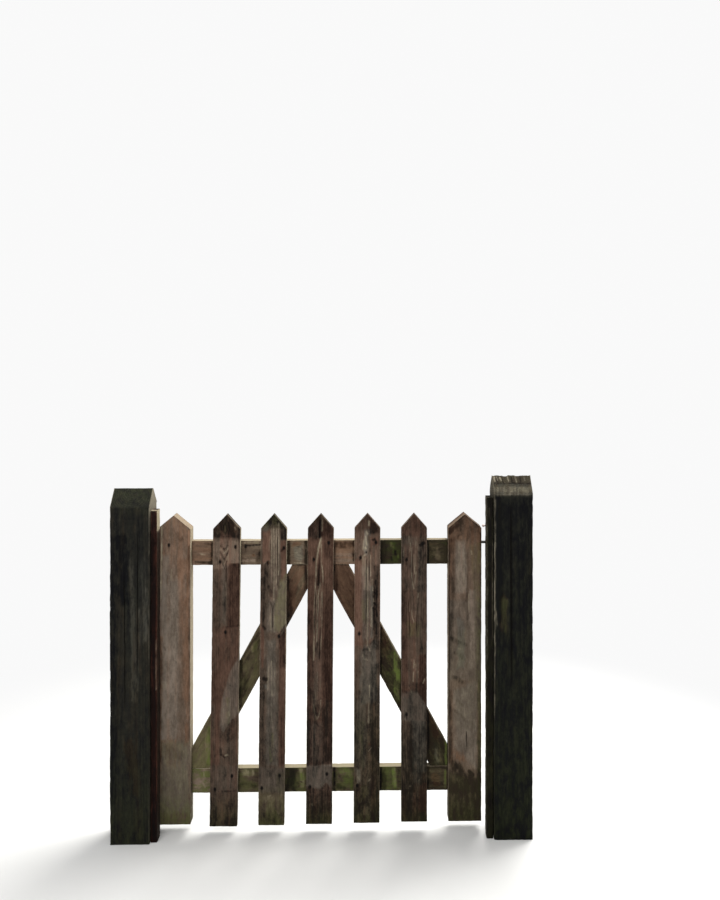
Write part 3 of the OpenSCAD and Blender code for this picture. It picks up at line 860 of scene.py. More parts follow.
# Kinds of board: body, material slot and material
STILE = ("leaf", "stile_timber", LEAF_WOOD)
RAIL = ("leaf", "rail_timber", LEAF_WOOD)
BRACE = ("leaf", "brace_timber", BRACE_WOOD)
PICKET = ("leaf", "picket_timber", PICKET_WOOD)
POST = ("posts", "post_timber", POST_WOOD)
STOP = ("posts", "stop_timber", STOP_WOOD)
# Wear that all stiles and all posts share, in metres
STILE_WEAR = {"bow": 0.0008}
POST_WEAR = {"arris": 0.003, "relief": 0.0009, "bow": 0.0012, "nibble": 0.003, "row_step": 0.0058}
# The seed that the first picket follows. The other boards' seeds stand in their calls
PICKET_SEED = 10
# Axes of an upright board and of one that lies across: over its face, through it and along its grain
UPRIGHT = ((1, 0, 0), (0, 1, 0), (0, 0, 1))
ACROSS = ((0, 0, -1), (0, 1, 0), (1, 0, 0))


def level(value):
    """An end that is cut square, at this place along the board."""
    def cut(w, t):
        return np.full(np.shape(w), value, float)
    return cut


def pointed(width, top, rise=POINT_RISE):
    """An end that is cut to a point in the middle of the board."""
    def cut(w, t):
        return top - rise * np.abs(2 * w / width - 1)
    return cut


def upright_board(node, kind, seed, look, high=None):
    """A board that fills its solid's box, cut square unless high gives its upper end."""
    low_corner, high_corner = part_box(node)
    size = high_corner - low_corner
    board(node, kind, low_corner, UPRIGHT, (size.x, size.y), level(0), high or level(size.z), seed, look)


def stile(node, seed, look):
    """A stile, cut to a point at its top."""
    low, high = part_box(node)
    width = high.x - low.x
    look = {"columns": {width / 2}, **STILE_WEAR, **look}
    upright_board(node, STILE, seed, look, pointed(width, high.z - low.z))


def post(node, seed, look):
    """A post whose top slopes to the front and to the back."""
    low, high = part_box(node)
    depth, top = high.y - low.y, high.z - low.z

    def weathered(w, t):
        return top - POST_TOP_RISE * np.abs(2 * t / depth - 1)

    upright_board(node, POST, seed, {**POST_WEAR, **look}, weathered)


def picket_frame(index):
    """Lower left corner of a picket's front, its axes as it leans, its width and its height."""
    low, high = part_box("hanging_stile")
    gap = (2 * STILE_IN - PICKETS * PICKET_W) / (PICKETS + 1)
    middle_x = LEAF_CX - STILE_IN + gap * index + PICKET_W * (index - 0.5)
    ease = (PICKETS - index) / (PICKETS - 1)
    turn, foot = math.radians(PICKET_LEAN * ease), PICKET_FOOT_DOWN * ease
    across, up = Vector((math.cos(turn), 0, -math.sin(turn))), Vector((math.sin(turn), 0, math.cos(turn)))
    width = FIRST_PICKET_W if index == 1 else PICKET_W
    shoulder = high.z - low.z - POINT_RISE
    middle = Vector((middle_x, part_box("picket_1")[0].y, low.z + shoulder / 2))
    corner = middle - across * width / 2 - up * (shoulder / 2 + foot)
    return corner, (across, Vector((0, 1, 0)), up), width, shoulder + foot + PICKET_RISE


def picket(index, look):
    """A picket and the nails in it."""
    node = f"picket_{index}"
    origin, axes, width, height = picket_frame(index)
    low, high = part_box(node)
    look = {"columns": {width / 2}, **look}
    board(node, PICKET, origin, axes, (width, high.y - low.y),
          level(0), pointed(width, height, PICKET_RISE), PICKET_SEED + index, look)
    for count, (px, py) in enumerate(look["nails"], 1):
        name, centre = f"{node}_nail_{count}", from_photo(px, py, origin.y + NAIL_DOWN)
        turned_disc(name, centre, -1, NAIL_HEAD, NAIL_SIDES, NAIL_IRON, "leaf")


def rail(node, seed, look):
    """A rail between the stiles. Its tenons are inside them."""
    low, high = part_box(node)
    start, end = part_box("hanging_stile")[1].x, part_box("closing_stile")[0].x
    size = (high.z - low.z, high.y - low.y)
    board(node, RAIL, (start, low.y, high.z), ACROSS, size, level(0), level(end - start), seed, look)


def bend_of(end):
    """Where across a brace its cut end bends from one line to the other."""
    ws = np.linspace(0, BRACE_W, KINK_PLACES)
    bend = np.abs(np.diff(end(ws, 0), 2))
    return round(float(ws[int(bend.argmax()) + 1]), 5)


def brace(node, side, seed, look):
    """A brace from the foot of one stile up to the middle of the top rail. side is -1 for the left one."""
    top, bottom = TOP_RAIL[0], BOTTOM_RAIL[1]
    rise, run = top - BRACE_NOSE - bottom, STILE_IN - BRACE_FOOT_IN
    length = math.hypot(run, rise)
    up = Vector((-side * run / length, 0, rise / length))
    through = Vector((0, 1, 0))
    across = through.cross(up)
    low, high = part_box(node)
    foot = Vector((LEAF_CX + side * run, low.y, bottom))
    origin = foot if side * across.x > 0 else foot - across * BRACE_W

    def to_upright(w, x):
        """Distance along the grain at which a line at w meets the upright line at x."""
        return (x - origin.x - w * across.x) / up.x

    def to_level(w, z):
        """Distance along the grain at which a line at w meets the level z."""
        return (z - origin.z - w * across.z) / up.z

    def lower(w, t):
        return np.maximum(to_upright(w, LEAF_CX + side * STILE_IN), to_level(w, bottom))

    def upper(w, t):
        return np.minimum(to_upright(w, LEAF_CX), to_level(w, top))

    columns = {w for w in (bend_of(lower), bend_of(upper)) if KINK_IN < w < BRACE_W - KINK_IN}
    size = (BRACE_W, high.y - low.y)
    board(node, BRACE, origin, (across, through, up), size, lower, upper, seed, {"columns": columns, **look})


# The looks of the boards, with marks that were placed from enlarged crops of the photograph.
# A stroke is its half width, its strength and its points. A shape is its softness, its strength and
# its corners. A crack is half its width and its depth in metres, then its points. Points are pixels
# of the photograph, x and y by turns. A knot's place and sizes are metres on its board. Two marks
# share each of these outlines
PICKET_1_RIGHT_HALF = (229, 564.5, 240, 564, 240, 626, 228.5, 627)
PICKET_1_GREY_EDGE = (238.5, 657, 230.4, 670, 227, 681, 221.4, 702, 219.4, 726, 223.2, 733, 231.8, 720.5,
                      238.5, 713)
PICKET_1_KNOT_MIDDLE = (225.2, 523, 225.4, 532)
PICKET_2_GREEN_EDGE = (280, 580, 286.4, 574, 286.4, 623, 279.2, 633, 274, 628, 276, 600)
PICKET_3_OVER_RAIL = (305, 765.5, 331.6, 764.5, 331.4, 788, 325.6, 783, 320, 789, 305, 786)
PICKET_5_UPPER_EDGE = (418, 545, 426, 592)
PICKET_5_LOWER_EDGE = (419.4, 655, 426, 655, 426, 705, 418, 691)
BOTTOM_RAIL_END = (445.4, 770, 445.2, 788)
RIGHT_BRACE_FOOT = (445.8, 742, 446.2, 764)
LATCH_POST_SLOPE = (496, 489.5, 534, 489.5)
LATCH_STOP_LEFT_EDGE = (486.8, 500, 487, 660)

# Picket 1: an old knot in its point, and a greyed right edge lower down
PICKET_1_LOOK = {
    "damp_and_shade": (0, 0.86, 0.06, 0.7, 0.11, 0.54, 0.3, 0.59, 0.5, 0.59, 0.7, 0.59, 0.806, 0.58, 0.812, 0.82,
             0.88, 0.9),
    "stain": (0, 0.35, 0.3, 0.42, 0.6, 0.45, 0.78, 0.35, 0.82, 0.5, 0.88, 0.4),
    "algae": (0, 0.35, 0.05, 0.15, 0.1, 0, 0.82, 0, 0.83, 0.06), "side_pale": (0, 0.2, 0.2, 0.5, 0.87, 0.9),
    "top_pale": 0.5, "heart": (0.45, 0.012), "rings": 0.0036, "taper": 0.002,
    "knots": [{"w": 0.034, "l": 0.827, "pull": -0.012, "wide": 0.016, "tall": 0.06}],
    "damp_and_shade_shapes": [
        (1, 0.22, *PICKET_1_RIGHT_HALF), (2, 0.13, 238, 716, 238, 738, 224, 742, 225, 734, 231, 723),
    ],
    "dry_and_lit_shapes": [
        (0.7, 0.34, 212, 537.6, 239, 537.6, 239, 563, 229.5, 563.4, 227, 568, 212, 569),
        (0.8, 0.14, 229, 541, 240, 563), (2, 0.1, 221, 566, 224, 566, 223.5, 620, 221, 620),
        (0.8, 0.2, *PICKET_1_GREY_EDGE), (1.6, 0.16, 222, 702, 230, 704, 229.5, 716, 222.5, 728, 220.5, 722),
        (2, 0.14, 220, 746, 231, 745, 230, 752.5, 221, 753),
    ],
    "warm_shapes": [
        (1.2, 0.5, *PICKET_1_RIGHT_HALF),
        (2, 0.25, 210, 628, 240, 626, 238, 655, 222, 700, 219, 764, 209, 764), (2, 0.4, 211, 672, 220, 704),
    ],
    "cool_shapes": [
        (2, 0.22, 221.5, 566, 228, 566, 227.5, 600, 226, 625, 221, 622), (0.8, 0.42, *PICKET_1_GREY_EDGE),
        (2, 0.15, 212, 766, 236, 790),
    ],
    "dark_strokes": [
        (0.8, 0.95, 221.4, 530, 221.8, 524, 225, 520.5, 228.6, 523, 229.6, 529, 228, 534),
        (0.45, 0.8, 223.4, 531, 223.2, 526.4, 225, 523.4, 226.8, 526.4, 226.8, 531, 225.1, 533, 223.4, 531),
        (0.45, 0.8, 220.6, 545.6, 224.3, 549.6, 228, 545.2),
        (0.55, 0.8, 220.2, 552, 224.4, 559.5, 228.2, 551.6), (0.5, 0.7, 222, 561, 224.5, 569, 226.8, 561),
        (0.5, 0.65, 226.3, 563, 226.2, 581), (0.5, 0.6, 223.6, 585, 224.6, 588, 225.7, 590.5),
        (0.4, 0.5, 223.2, 597.4, 224.4, 598.4), (0.5, 0.4, 223.4, 604.6, 224.4, 605.2),
        (0.5, 0.45, 228.4, 685.4, 231.4, 685.8), (0.6, 0.4, 232.4, 719, 228, 725.5),
    ],
    "pale_strokes": [
        (0.9, 0.62, 235, 527, 235.6, 529.6), (0.5, 0.5, 232.6, 521, 237.8, 527),
        (0.6, 0.5, 220, 548.8, 224.3, 553.6, 228.8, 547.8), (0.6, 0.45, 220.6, 556, 224.4, 564, 228, 556.5),
        (0.5, 0.3, 228.3, 552, 228.6, 566), (0.5, 0.2, 226, 583, 226.4, 604),
        (0.5, 0.3, 228.6, 711, 229.4, 715.6), (0.5, 0.22, 223.4, 708, 222.6, 722),
        (0.8, 0.75, 225.2, 755.4, 227.4, 755),
    ],
    "damp_and_shade_strokes": [
        (2.2, 0.2, 232.5, 520, 232.5, 535), (1.4, 0.16, 223, 627.6, 238, 626),
        (1, 0.36, 220.4, 748, 221.2, 754, 224.5, 757.6), (1, 0.25, 222, 791.5, 235, 791),
        (1, 0.25, 214, 535, 214, 528),
    ],
    "dry_and_lit_strokes": [(2.6, 0.14, *PICKET_1_KNOT_MIDDLE), (0.6, 0.35, 222.2, 533.5, 224.8, 536.2, 227.6, 534)],
    "warm_strokes": [(1.8, 0.9, 235, 524.5, 235.4, 531), (1, 0.7, 236.8, 640, 236.4, 660)],
    "algae_strokes": [(2.2, 0.3, *PICKET_1_KNOT_MIDDLE), (3, 0.3, 228, 700, 227, 722)],
    "cracks": [(0.0006, 0.0012, 226.3, 562, 226.2, 584)],
    "nails": [(235.4, 546.9), (220, 561.9), (225.4, 632.2), (231.9, 776), (214.8, 789.4)],
}

# Picket 2: the greyest, with pale grain lines under its point and green on its right edge
PICKET_2_LOOK = {
    "damp_and_shade": (0, 0.74, 0.05, 0.58, 0.09, 0.5, 0.15, 0.6, 0.35, 0.52, 0.55, 0.45, 0.75, 0.44, 0.835, 0.5,
             0.85, 0.84, 0.88, 0.94),
    "stain": (0, 0.1, 0.3, 0.2, 0.55, 0.25, 0.87, 0.15),
    "algae": (0, 0.75, 0.05, 0.5, 0.09, 0.2, 0.12, 0, 0.83, 0, 0.85, 0.38, 0.88, 0.4),
    "side_pale": (0, 0.2, 0.87, 0.8), "top_pale": 0.45, "heart": (0.5, 0.05), "rings": 0.0034, "taper": 0.002,
    "damp_and_shade_shapes": [
        (1, 0.34, 280.2, 521, 287, 528, 287, 539, 280.6, 540),
        (1.6, 0.32, 261.6, 564.6, 267.6, 564.6, 267, 600, 264.5, 626, 261.6, 626),
        (1, 0.3, 279.4, 637.6, 286, 627, 286, 668, 280, 668),
        (1.6, 0.15, 279.6, 690, 285.6, 690, 285.4, 764, 279.4, 764),
        (1.6, 0.15, 259.5, 668, 265, 668, 264.5, 766, 259.5, 766),
    ],
    "dry_and_lit_shapes": [
        (1.2, 0.22, 264, 534, 270, 533, 270, 561.5, 264, 561.5),
        (1.6, 0.22, 270.4, 529, 279.8, 528, 279.8, 563, 270, 563),
        (1.2, 0.15, 281.2, 560, 285.6, 560, 285.4, 580, 281.2, 581),
        (1.6, 0.12, 268, 565, 277.6, 565, 277.6, 592, 268.4, 588),
        (1.2, 0.24, 280, 582, 286.4, 578, 286.4, 622, 279.2, 632, 275, 628, 277, 600),
        (1.8, 0.1, 268, 604, 274, 604, 274, 630, 267, 630),
        (2.2, 0.16, 267.6, 664, 275.6, 662, 276.4, 697, 266.4, 697),
        (2.4, 0.16, 262, 797, 281, 796, 280, 811, 264, 812),
    ],
    "warm_shapes": [
        (1.2, 0.8, 263, 532, 270.4, 531, 270.4, 561, 263, 562),
        (1.2, 0.9, 281, 541, 286.4, 541, 286, 580, 281, 581),
        (1.2, 0.9, 279.4, 640, 286, 630, 285.4, 768, 279.6, 768),
        (0.8, 0.8, 261.4, 627, 264, 627, 263.6, 668, 261.2, 668),
    ],
    "cool_shapes": [
        (1, 0.45, 262, 530, 268, 523, 272, 523, 266, 532),
        (2, 0.1, 271, 529, 279, 529, 278.4, 600, 270.6, 600), (1.2, 0.28, *PICKET_2_GREEN_EDGE),
        (2, 0.35, 267, 600, 277, 600, 277, 632, 266, 632),
        (2, 0.5, 267, 640, 276, 640, 277.5, 766, 265.5, 766), (1.6, 0.3, 259.5, 767, 284, 792),
    ],
    "algae_shapes": [
        (1.2, 0.42, *PICKET_2_GREEN_EDGE), (1.6, 0.3, 277, 774, 284.6, 772, 284.4, 792, 276, 792),
    ],
    "dark_strokes": [
        (0.5, 0.6, 270.6, 522.2, 275, 521.6, 279, 522.6), (0.4, 0.35, 275.2, 528, 275.2, 570),
        (0.4, 0.35, 277.5, 530, 277.5, 585), (0.4, 0.25, 272.8, 534, 272.6, 590),
        (0.35, 0.35, 270.6, 540, 270.4, 590), (0.9, 0.55, 270.4, 589.5, 272, 592.5),
        (0.5, 0.55, 270, 601, 271.6, 605, 269.8, 613), (0.5, 0.5, 274.6, 603, 272.8, 612),
        (0.5, 0.6, 272.6, 614, 272.5, 627), (0.55, 0.7, 286.4, 624, 278.9, 635.4),
        (0.7, 0.6, 268.2, 562.6, 265.8, 563.6), (0.4, 0.35, 269.8, 664, 270.2, 700),
        (0.5, 0.5, 275.8, 749.6, 276.6, 752.4),
    ],
    "pale_strokes": [
        (0.5, 0.35, 271.4, 524.8, 275, 525.6, 278.6, 524.8), (0.5, 0.55, 273.9, 526, 274.1, 575, 273.6, 600),
        (0.55, 0.6, 278.9, 523, 278.5, 575), (0.4, 0.45, 276.3, 528, 276.4, 590),
        (0.45, 0.45, 271.8, 528, 271.6, 566), (0.4, 0.35, 269.6, 536, 269.4, 552),
        (0.8, 0.45, 270.2, 612, 271.4, 633), (0.6, 0.4, 274.4, 616, 274.2, 632),
        (0.6, 0.4, 268.6, 667, 267.6, 690), (0.5, 0.4, 271.4, 661, 272, 696),
        (0.4, 0.35, 274.4, 664, 274.8, 690), (0.5, 0.3, 271.4, 704, 272.2, 730),
        (0.4, 0.25, 273.8, 726, 273.6, 756), (0.7, 0.3, 268, 796.4, 271, 795.8),
        (0.6, 0.25, 277.5, 812, 278.8, 814),
    ],
    "damp_and_shade_strokes": [
        (1.6, 0.3, 269, 586, 271, 596), (1.2, 0.4, 262.8, 626.6, 265, 629),
        (1, 0.4, 282.6, 549.6, 281.4, 551), (1.6, 0.5, 264.4, 678.6, 266.4, 679.6),
    ],
    "cool_strokes": [(1.6, 0.8, 265.6, 686, 267.2, 688)],
    "algae_strokes": [(2.2, 0.4, 272, 735, 271, 760)],
    "cracks": [(0.0005, 0.0008, 277.5, 533, 277.3, 570), (0.0006, 0.001, 272.7, 604, 272.4, 630)],
    "nails": [(284, 548), (267.8, 562.9), (279, 636.3), (279.6, 775.6), (261.9, 788.2)],
}

# Picket 3: split at its point, with arched pale grain below
PICKET_3_LOOK = {
    "damp_and_shade": (0, 0.95, 0.05, 0.83, 0.1, 0.76, 0.3, 0.71, 0.5, 0.72, 0.7, 0.61, 0.8, 0.61, 0.815, 0.86,
             0.88, 0.96),
    "stain": (0, 0.3, 0.1, 0.4, 0.4, 0.6, 0.8, 0.7, 0.88, 0.6),
    "algae": (0, 0.6, 0.04, 0.2, 0.08, 0, 0.84, 0, 0.86, 0.12), "side_pale": (0, 0.2, 0.87, 0.6),
    "top_pale": 0.4, "heart": (0.42, 0.01), "taper": -0.003,
    "damp_and_shade_shapes": [
        (2, 0.16, 324, 600, 332, 596, 332, 762, 323.4, 762),
        (2, 0.18, 307.4, 610, 312.4, 610, 311, 764, 307, 764),
    ],
    "dry_and_lit_shapes": [
        (2, 0.2, 309, 540, 316, 540, 314.6, 575, 309, 575), (1.8, 0.26, 316, 541, 323.4, 562),
        (1.6, 0.26, 324, 558, 329.6, 558, 328.6, 583, 324.4, 583),
        (2.4, 0.14, 315, 585, 322.5, 585, 322.5, 704, 313, 704), (1, 0.2, *PICKET_3_OVER_RAIL),
    ],
    "warm_shapes": [
        (1.2, 0.6, 323, 520, 333, 529, 333, 545, 323, 545),
        (1.6, 0.6, 309, 540, 316, 540, 313.8, 620, 308.6, 620),
        (1.6, 0.6, 323.6, 545, 332.6, 545, 332, 700, 323, 700),
    ],
    "cool_shapes": [
        (1, 0.15, 308.6, 528, 318.4, 518, 318.4, 537, 308.6, 538),
        (2.4, 0.12, 314, 600, 322.4, 600, 322, 708, 312, 706), (1, 0.55, *PICKET_3_OVER_RAIL),
        (2, 0.25, 308, 722, 322, 724, 322, 762, 307, 762),
    ],
    "dark_strokes": [
        (1.1, 0.95, 320.8, 517, 320.2, 526, 319.6, 537), (0.5, 0.45, 319.6, 555, 318.7, 580),
        (0.4, 0.6, 315.6, 592, 314.8, 616, 313.8, 634), (0.5, 0.75, 320.2, 628, 319.4, 659),
        (0.4, 0.5, 323.4, 586, 322.9, 606), (0.35, 0.45, 317.6, 600, 317.2, 650),
        (0.9, 0.55, 316.2, 713, 318.2, 714.5),
    ],
    "pale_strokes": [
        (0.5, 0.45, 317.5, 526, 318, 538), (0.5, 0.55, 322.2, 516, 322, 531),
        (0.9, 0.72, 320.6, 539, 318.9, 547, 316.6, 562, 315.7, 576),
        (0.6, 0.6, 315.7, 576, 314.8, 594, 314.2, 625, 313.8, 660),
        (0.7, 0.66, 321.2, 545, 321.5, 563, 322.7, 572, 322.9, 583),
        (0.45, 0.45, 322.7, 584, 322, 606, 321, 650), (1.3, 0.42, 320.8, 538, 320.4, 547),
        (0.6, 0.55, 320.2, 583, 318.3, 596, 317.6, 622, 316.8, 642),
        (0.45, 0.45, 320.2, 583, 321, 593, 320.5, 616), (0.4, 0.35, 316.6, 590, 316.4, 640),
        (0.45, 0.4, 313.6, 704, 314.6, 713, 316.8, 719.6), (0.45, 0.4, 321, 700, 319.8, 712, 317.4, 719.6),
        (0.4, 0.25, 317.4, 672, 317.4, 700), (0.4, 0.25, 315.2, 676, 315.4, 700),
        (0.4, 0.25, 320, 672, 320.2, 696), (0.7, 0.35, 311.4, 804, 312.6, 805.6),
        (0.5, 0.3, 330.6, 770, 330.8, 783),
    ],
    "damp_and_shade_strokes": [
        (2.2, 0.35, 319, 520, 319.4, 536), (1.5, 0.22, 319.4, 556, 318.6, 584),
        (1.2, 0.3, 317, 723, 318.2, 726), (1, 0.3, 316, 765, 317, 760), (1.6, 0.3, 314, 808, 316, 812),
    ],
    "dry_and_lit_strokes": [(1.2, 0.25, 324.6, 765, 330, 765.4)],
    "cracks": [
        (0.0012, 0.0036, 320, 517, 319.9, 540), (0.0005, 0.0012, 319.4, 556, 318.6, 588),
        (0.0006, 0.0016, 315.6, 590, 314.2, 640), (0.0006, 0.0014, 320.3, 626, 319.3, 662),
    ],
    "nails": [(328.8, 542.8), (313.8, 559.4), (326.9, 774.1), (310, 786.9)],
}

# Picket 4: brown stain left on its left edge, a worn crack on its right and a knot below both
PICKET_4_LOOK = {
    "damp_and_shade": (0, 0.88, 0.05, 0.8, 0.12, 0.75, 0.25, 0.73, 0.38, 0.54, 0.5, 0.45, 0.7, 0.37, 0.77, 0.31,
             0.81, 0.36, 0.835, 0.7, 0.88, 0.8),
    "stain": (0, 0.3, 0.2, 0.3, 0.35, 0.25, 0.5, 0.4, 0.8, 0.5, 0.88, 0.7),
    "algae": (0, 0.5, 0.04, 0.3, 0.1, 0.15, 0.25, 0.15, 0.4, 0.05, 0.5, 0), "side_pale": (0, 0.2, 0.87, 0.5),
    "top_pale": 0.4, "heart": (0.55, 0.03), "rings": 0.0036, "taper": 0.002,
    "knots": [{"w": 0.04, "l": 0.54, "pull": -0.008, "wide": 0.014, "tall": 0.03}],
    "damp_and_shade_shapes": [
        (1.4, 0.32, 370, 523, 376, 523, 379, 533, 370, 535),
        (1.2, 0.26, 373.6, 566, 379.4, 566, 379, 650, 374, 650),
        (1.4, 0.14, 362, 650, 374, 640, 374, 662, 363, 662),
        (1.6, 0.18, 371, 664, 379, 664, 378.6, 822, 371, 822),
        (1.6, 0.12, 354, 660, 357.6, 660, 357, 760, 354, 760),
    ],
    "dry_and_lit_shapes": [
        (1.4, 0.22, 363.6, 534, 368.4, 532, 368.2, 547, 366.6, 556, 361.8, 551),
        (1.4, 0.15, 355, 562, 361.6, 562, 361.8, 642, 354.6, 642),
        (1.8, 0.22, 362, 556, 371, 556, 370, 590, 362, 590),
        (1.4, 0.2, 355.6, 769, 361, 769, 361.4, 783, 357, 783), (1.6, 0.2, 362.6, 807, 367.6, 814),
    ],
    "warm_shapes": [(1, 0.9, 371, 537.6, 378, 545), (1.4, 0.8, 355, 560, 361.6, 560, 361.8, 645, 354.6, 645)],
    "cool_shapes": [
        (1.4, 0.5, 364, 530, 371, 529, 371, 536, 364, 536),
        (1, 0.75, 364.6, 533, 367.8, 531, 368, 545, 366.8, 556, 363.2, 551),
        (1.6, 0.35, 362, 566, 371, 566, 370, 640, 362, 640), (1, 0.7, 370, 586, 373, 638),
        (2, 0.6, 360, 650, 376, 640, 377, 700, 360, 706), (1.6, 0.3, 356, 700, 366, 768),
        (1.2, 0.7, 355.6, 768, 361, 768, 361.4, 784, 357, 784),
    ],
    "algae_shapes": [
        (1.6, 0.35, 362.4, 600, 367, 600, 366, 622, 362.4, 620),
        (1.6, 0.22, 357, 720, 365.4, 720, 365, 768, 357.6, 768),
        (2, 0.35, 358, 786, 368, 784, 366, 802, 358, 802),
    ],
    "dark_strokes": [
        (1, 0.8, 370.4, 528.8, 370.8, 532.8), (0.7, 0.5, 371.6, 530, 373.4, 533),
        (0.6, 0.45, 375, 525, 376.4, 529), (1, 1, 366.2, 552, 366.5, 552.5),
        (0.9, 0.85, 372.7, 539.6, 373.2, 540.4), (0.9, 0.85, 374.6, 539.2, 375, 540),
        (0.5, 0.6, 370, 548.6, 370, 551.6), (0.9, 0.7, 360.2, 558.4, 359.4, 559.6),
        (0.8, 0.6, 376.2, 541, 375.6, 544.6), (0.4, 0.45, 361.8, 556, 362, 590),
        (0.4, 0.45, 366.4, 560, 366.2, 584), (0.4, 0.45, 369.2, 556, 369.2, 580),
        (1.1, 0.9, 375.8, 580.6, 375.6, 584), (1.2, 0.95, 374.4, 592.4, 376.8, 594.6),
        (1.1, 0.95, 373.8, 603, 376.2, 605), (1.2, 0.9, 373.2, 608, 376.8, 610.4),
        (1, 0.9, 376.8, 612.4, 377, 616.4), (1.1, 0.9, 373.8, 620, 375.6, 622.4),
        (0.9, 0.85, 376.4, 586, 376.2, 634), (0.8, 0.8, 373.4, 596, 373.8, 630),
        (1, 0.55, 363, 650.4, 365.2, 648.6, 367.4, 650), (0.9, 0.55, 370.4, 644, 373.6, 640.6, 375.2, 644),
        (0.7, 0.45, 364.6, 655, 367, 656), (0.6, 0.5, 374.8, 671.4, 375.4, 674),
        (0.5, 0.3, 360.6, 664, 364, 669), (0.4, 0.4, 367.2, 706, 367, 716), (0.5, 0.4, 374.6, 788, 376, 792),
        (0.8, 0.3, 365, 798, 367, 800),
    ],
    "pale_strokes": [
        (0.9, 0.8, 368.9, 521.4, 368.7, 525.6), (0.9, 0.8, 366.2, 531.6, 367.4, 533.6),
        (0.9, 0.75, 365.6, 536.6, 366, 541, 366.9, 545), (1.1, 1, 365.4, 547.4, 366, 548.6),
        (0.8, 0.9, 364.2, 555.2, 365, 554.8), (0.9, 0.5, 364, 540, 363, 549),
        (0.55, 0.5, 362.6, 556, 362.8, 575), (0.6, 0.5, 367.6, 568, 367.8, 592, 367, 640),
        (0.5, 0.5, 370.6, 555, 370.8, 576), (0.45, 0.45, 365.2, 558, 364.8, 590),
        (0.7, 0.8, 373.6, 599.2, 373.9, 601.4), (0.6, 0.6, 371.5, 607, 371.4, 626),
        (0.7, 0.6, 372.2, 579, 372.6, 590), (0.6, 0.6, 366.4, 571, 366.8, 589),
        (0.5, 0.4, 373, 598, 373.4, 606), (0.5, 0.35, 376, 618, 376.4, 630),
        (0.6, 0.55, 367.2, 640, 367.6, 646, 369.8, 651), (0.5, 0.45, 362.4, 654, 363.8, 659, 367.6, 660),
        (0.5, 0.35, 371.4, 648, 372.6, 655, 370, 661), (0.5, 0.25, 361.4, 670, 363.6, 676),
        (0.55, 0.65, 369.5, 685, 369.3, 698), (0.5, 0.35, 369, 700, 368.8, 709),
        (0.8, 0.5, 368.8, 710, 368.6, 723), (0.4, 0.4, 368.6, 751, 371.4, 748),
        (0.6, 0.4, 357.6, 777, 359.4, 780), (0.5, 0.4, 368.2, 781.2, 370.4, 779),
    ],
    "dry_and_lit_strokes": [(2, 0.2, 362, 524, 364, 532)],
    "warm_strokes": [(1, 0.9, 369, 744, 370.2, 744.4)],
    "algae_strokes": [(0.8, 0.8, 361.4, 735, 361.2, 742)],
    "cracks": [
        (0.0006, 0.0012, 369.2, 556, 369.3, 584), (0.0006, 0.0012, 366.4, 560, 366, 636),
        (0.0012, 0.0024, 375, 584, 374.6, 626),
    ],
    "nails": [(376, 542.4), (360.5, 557.6), (359.3, 633.8), (357.3, 785.7)],
}

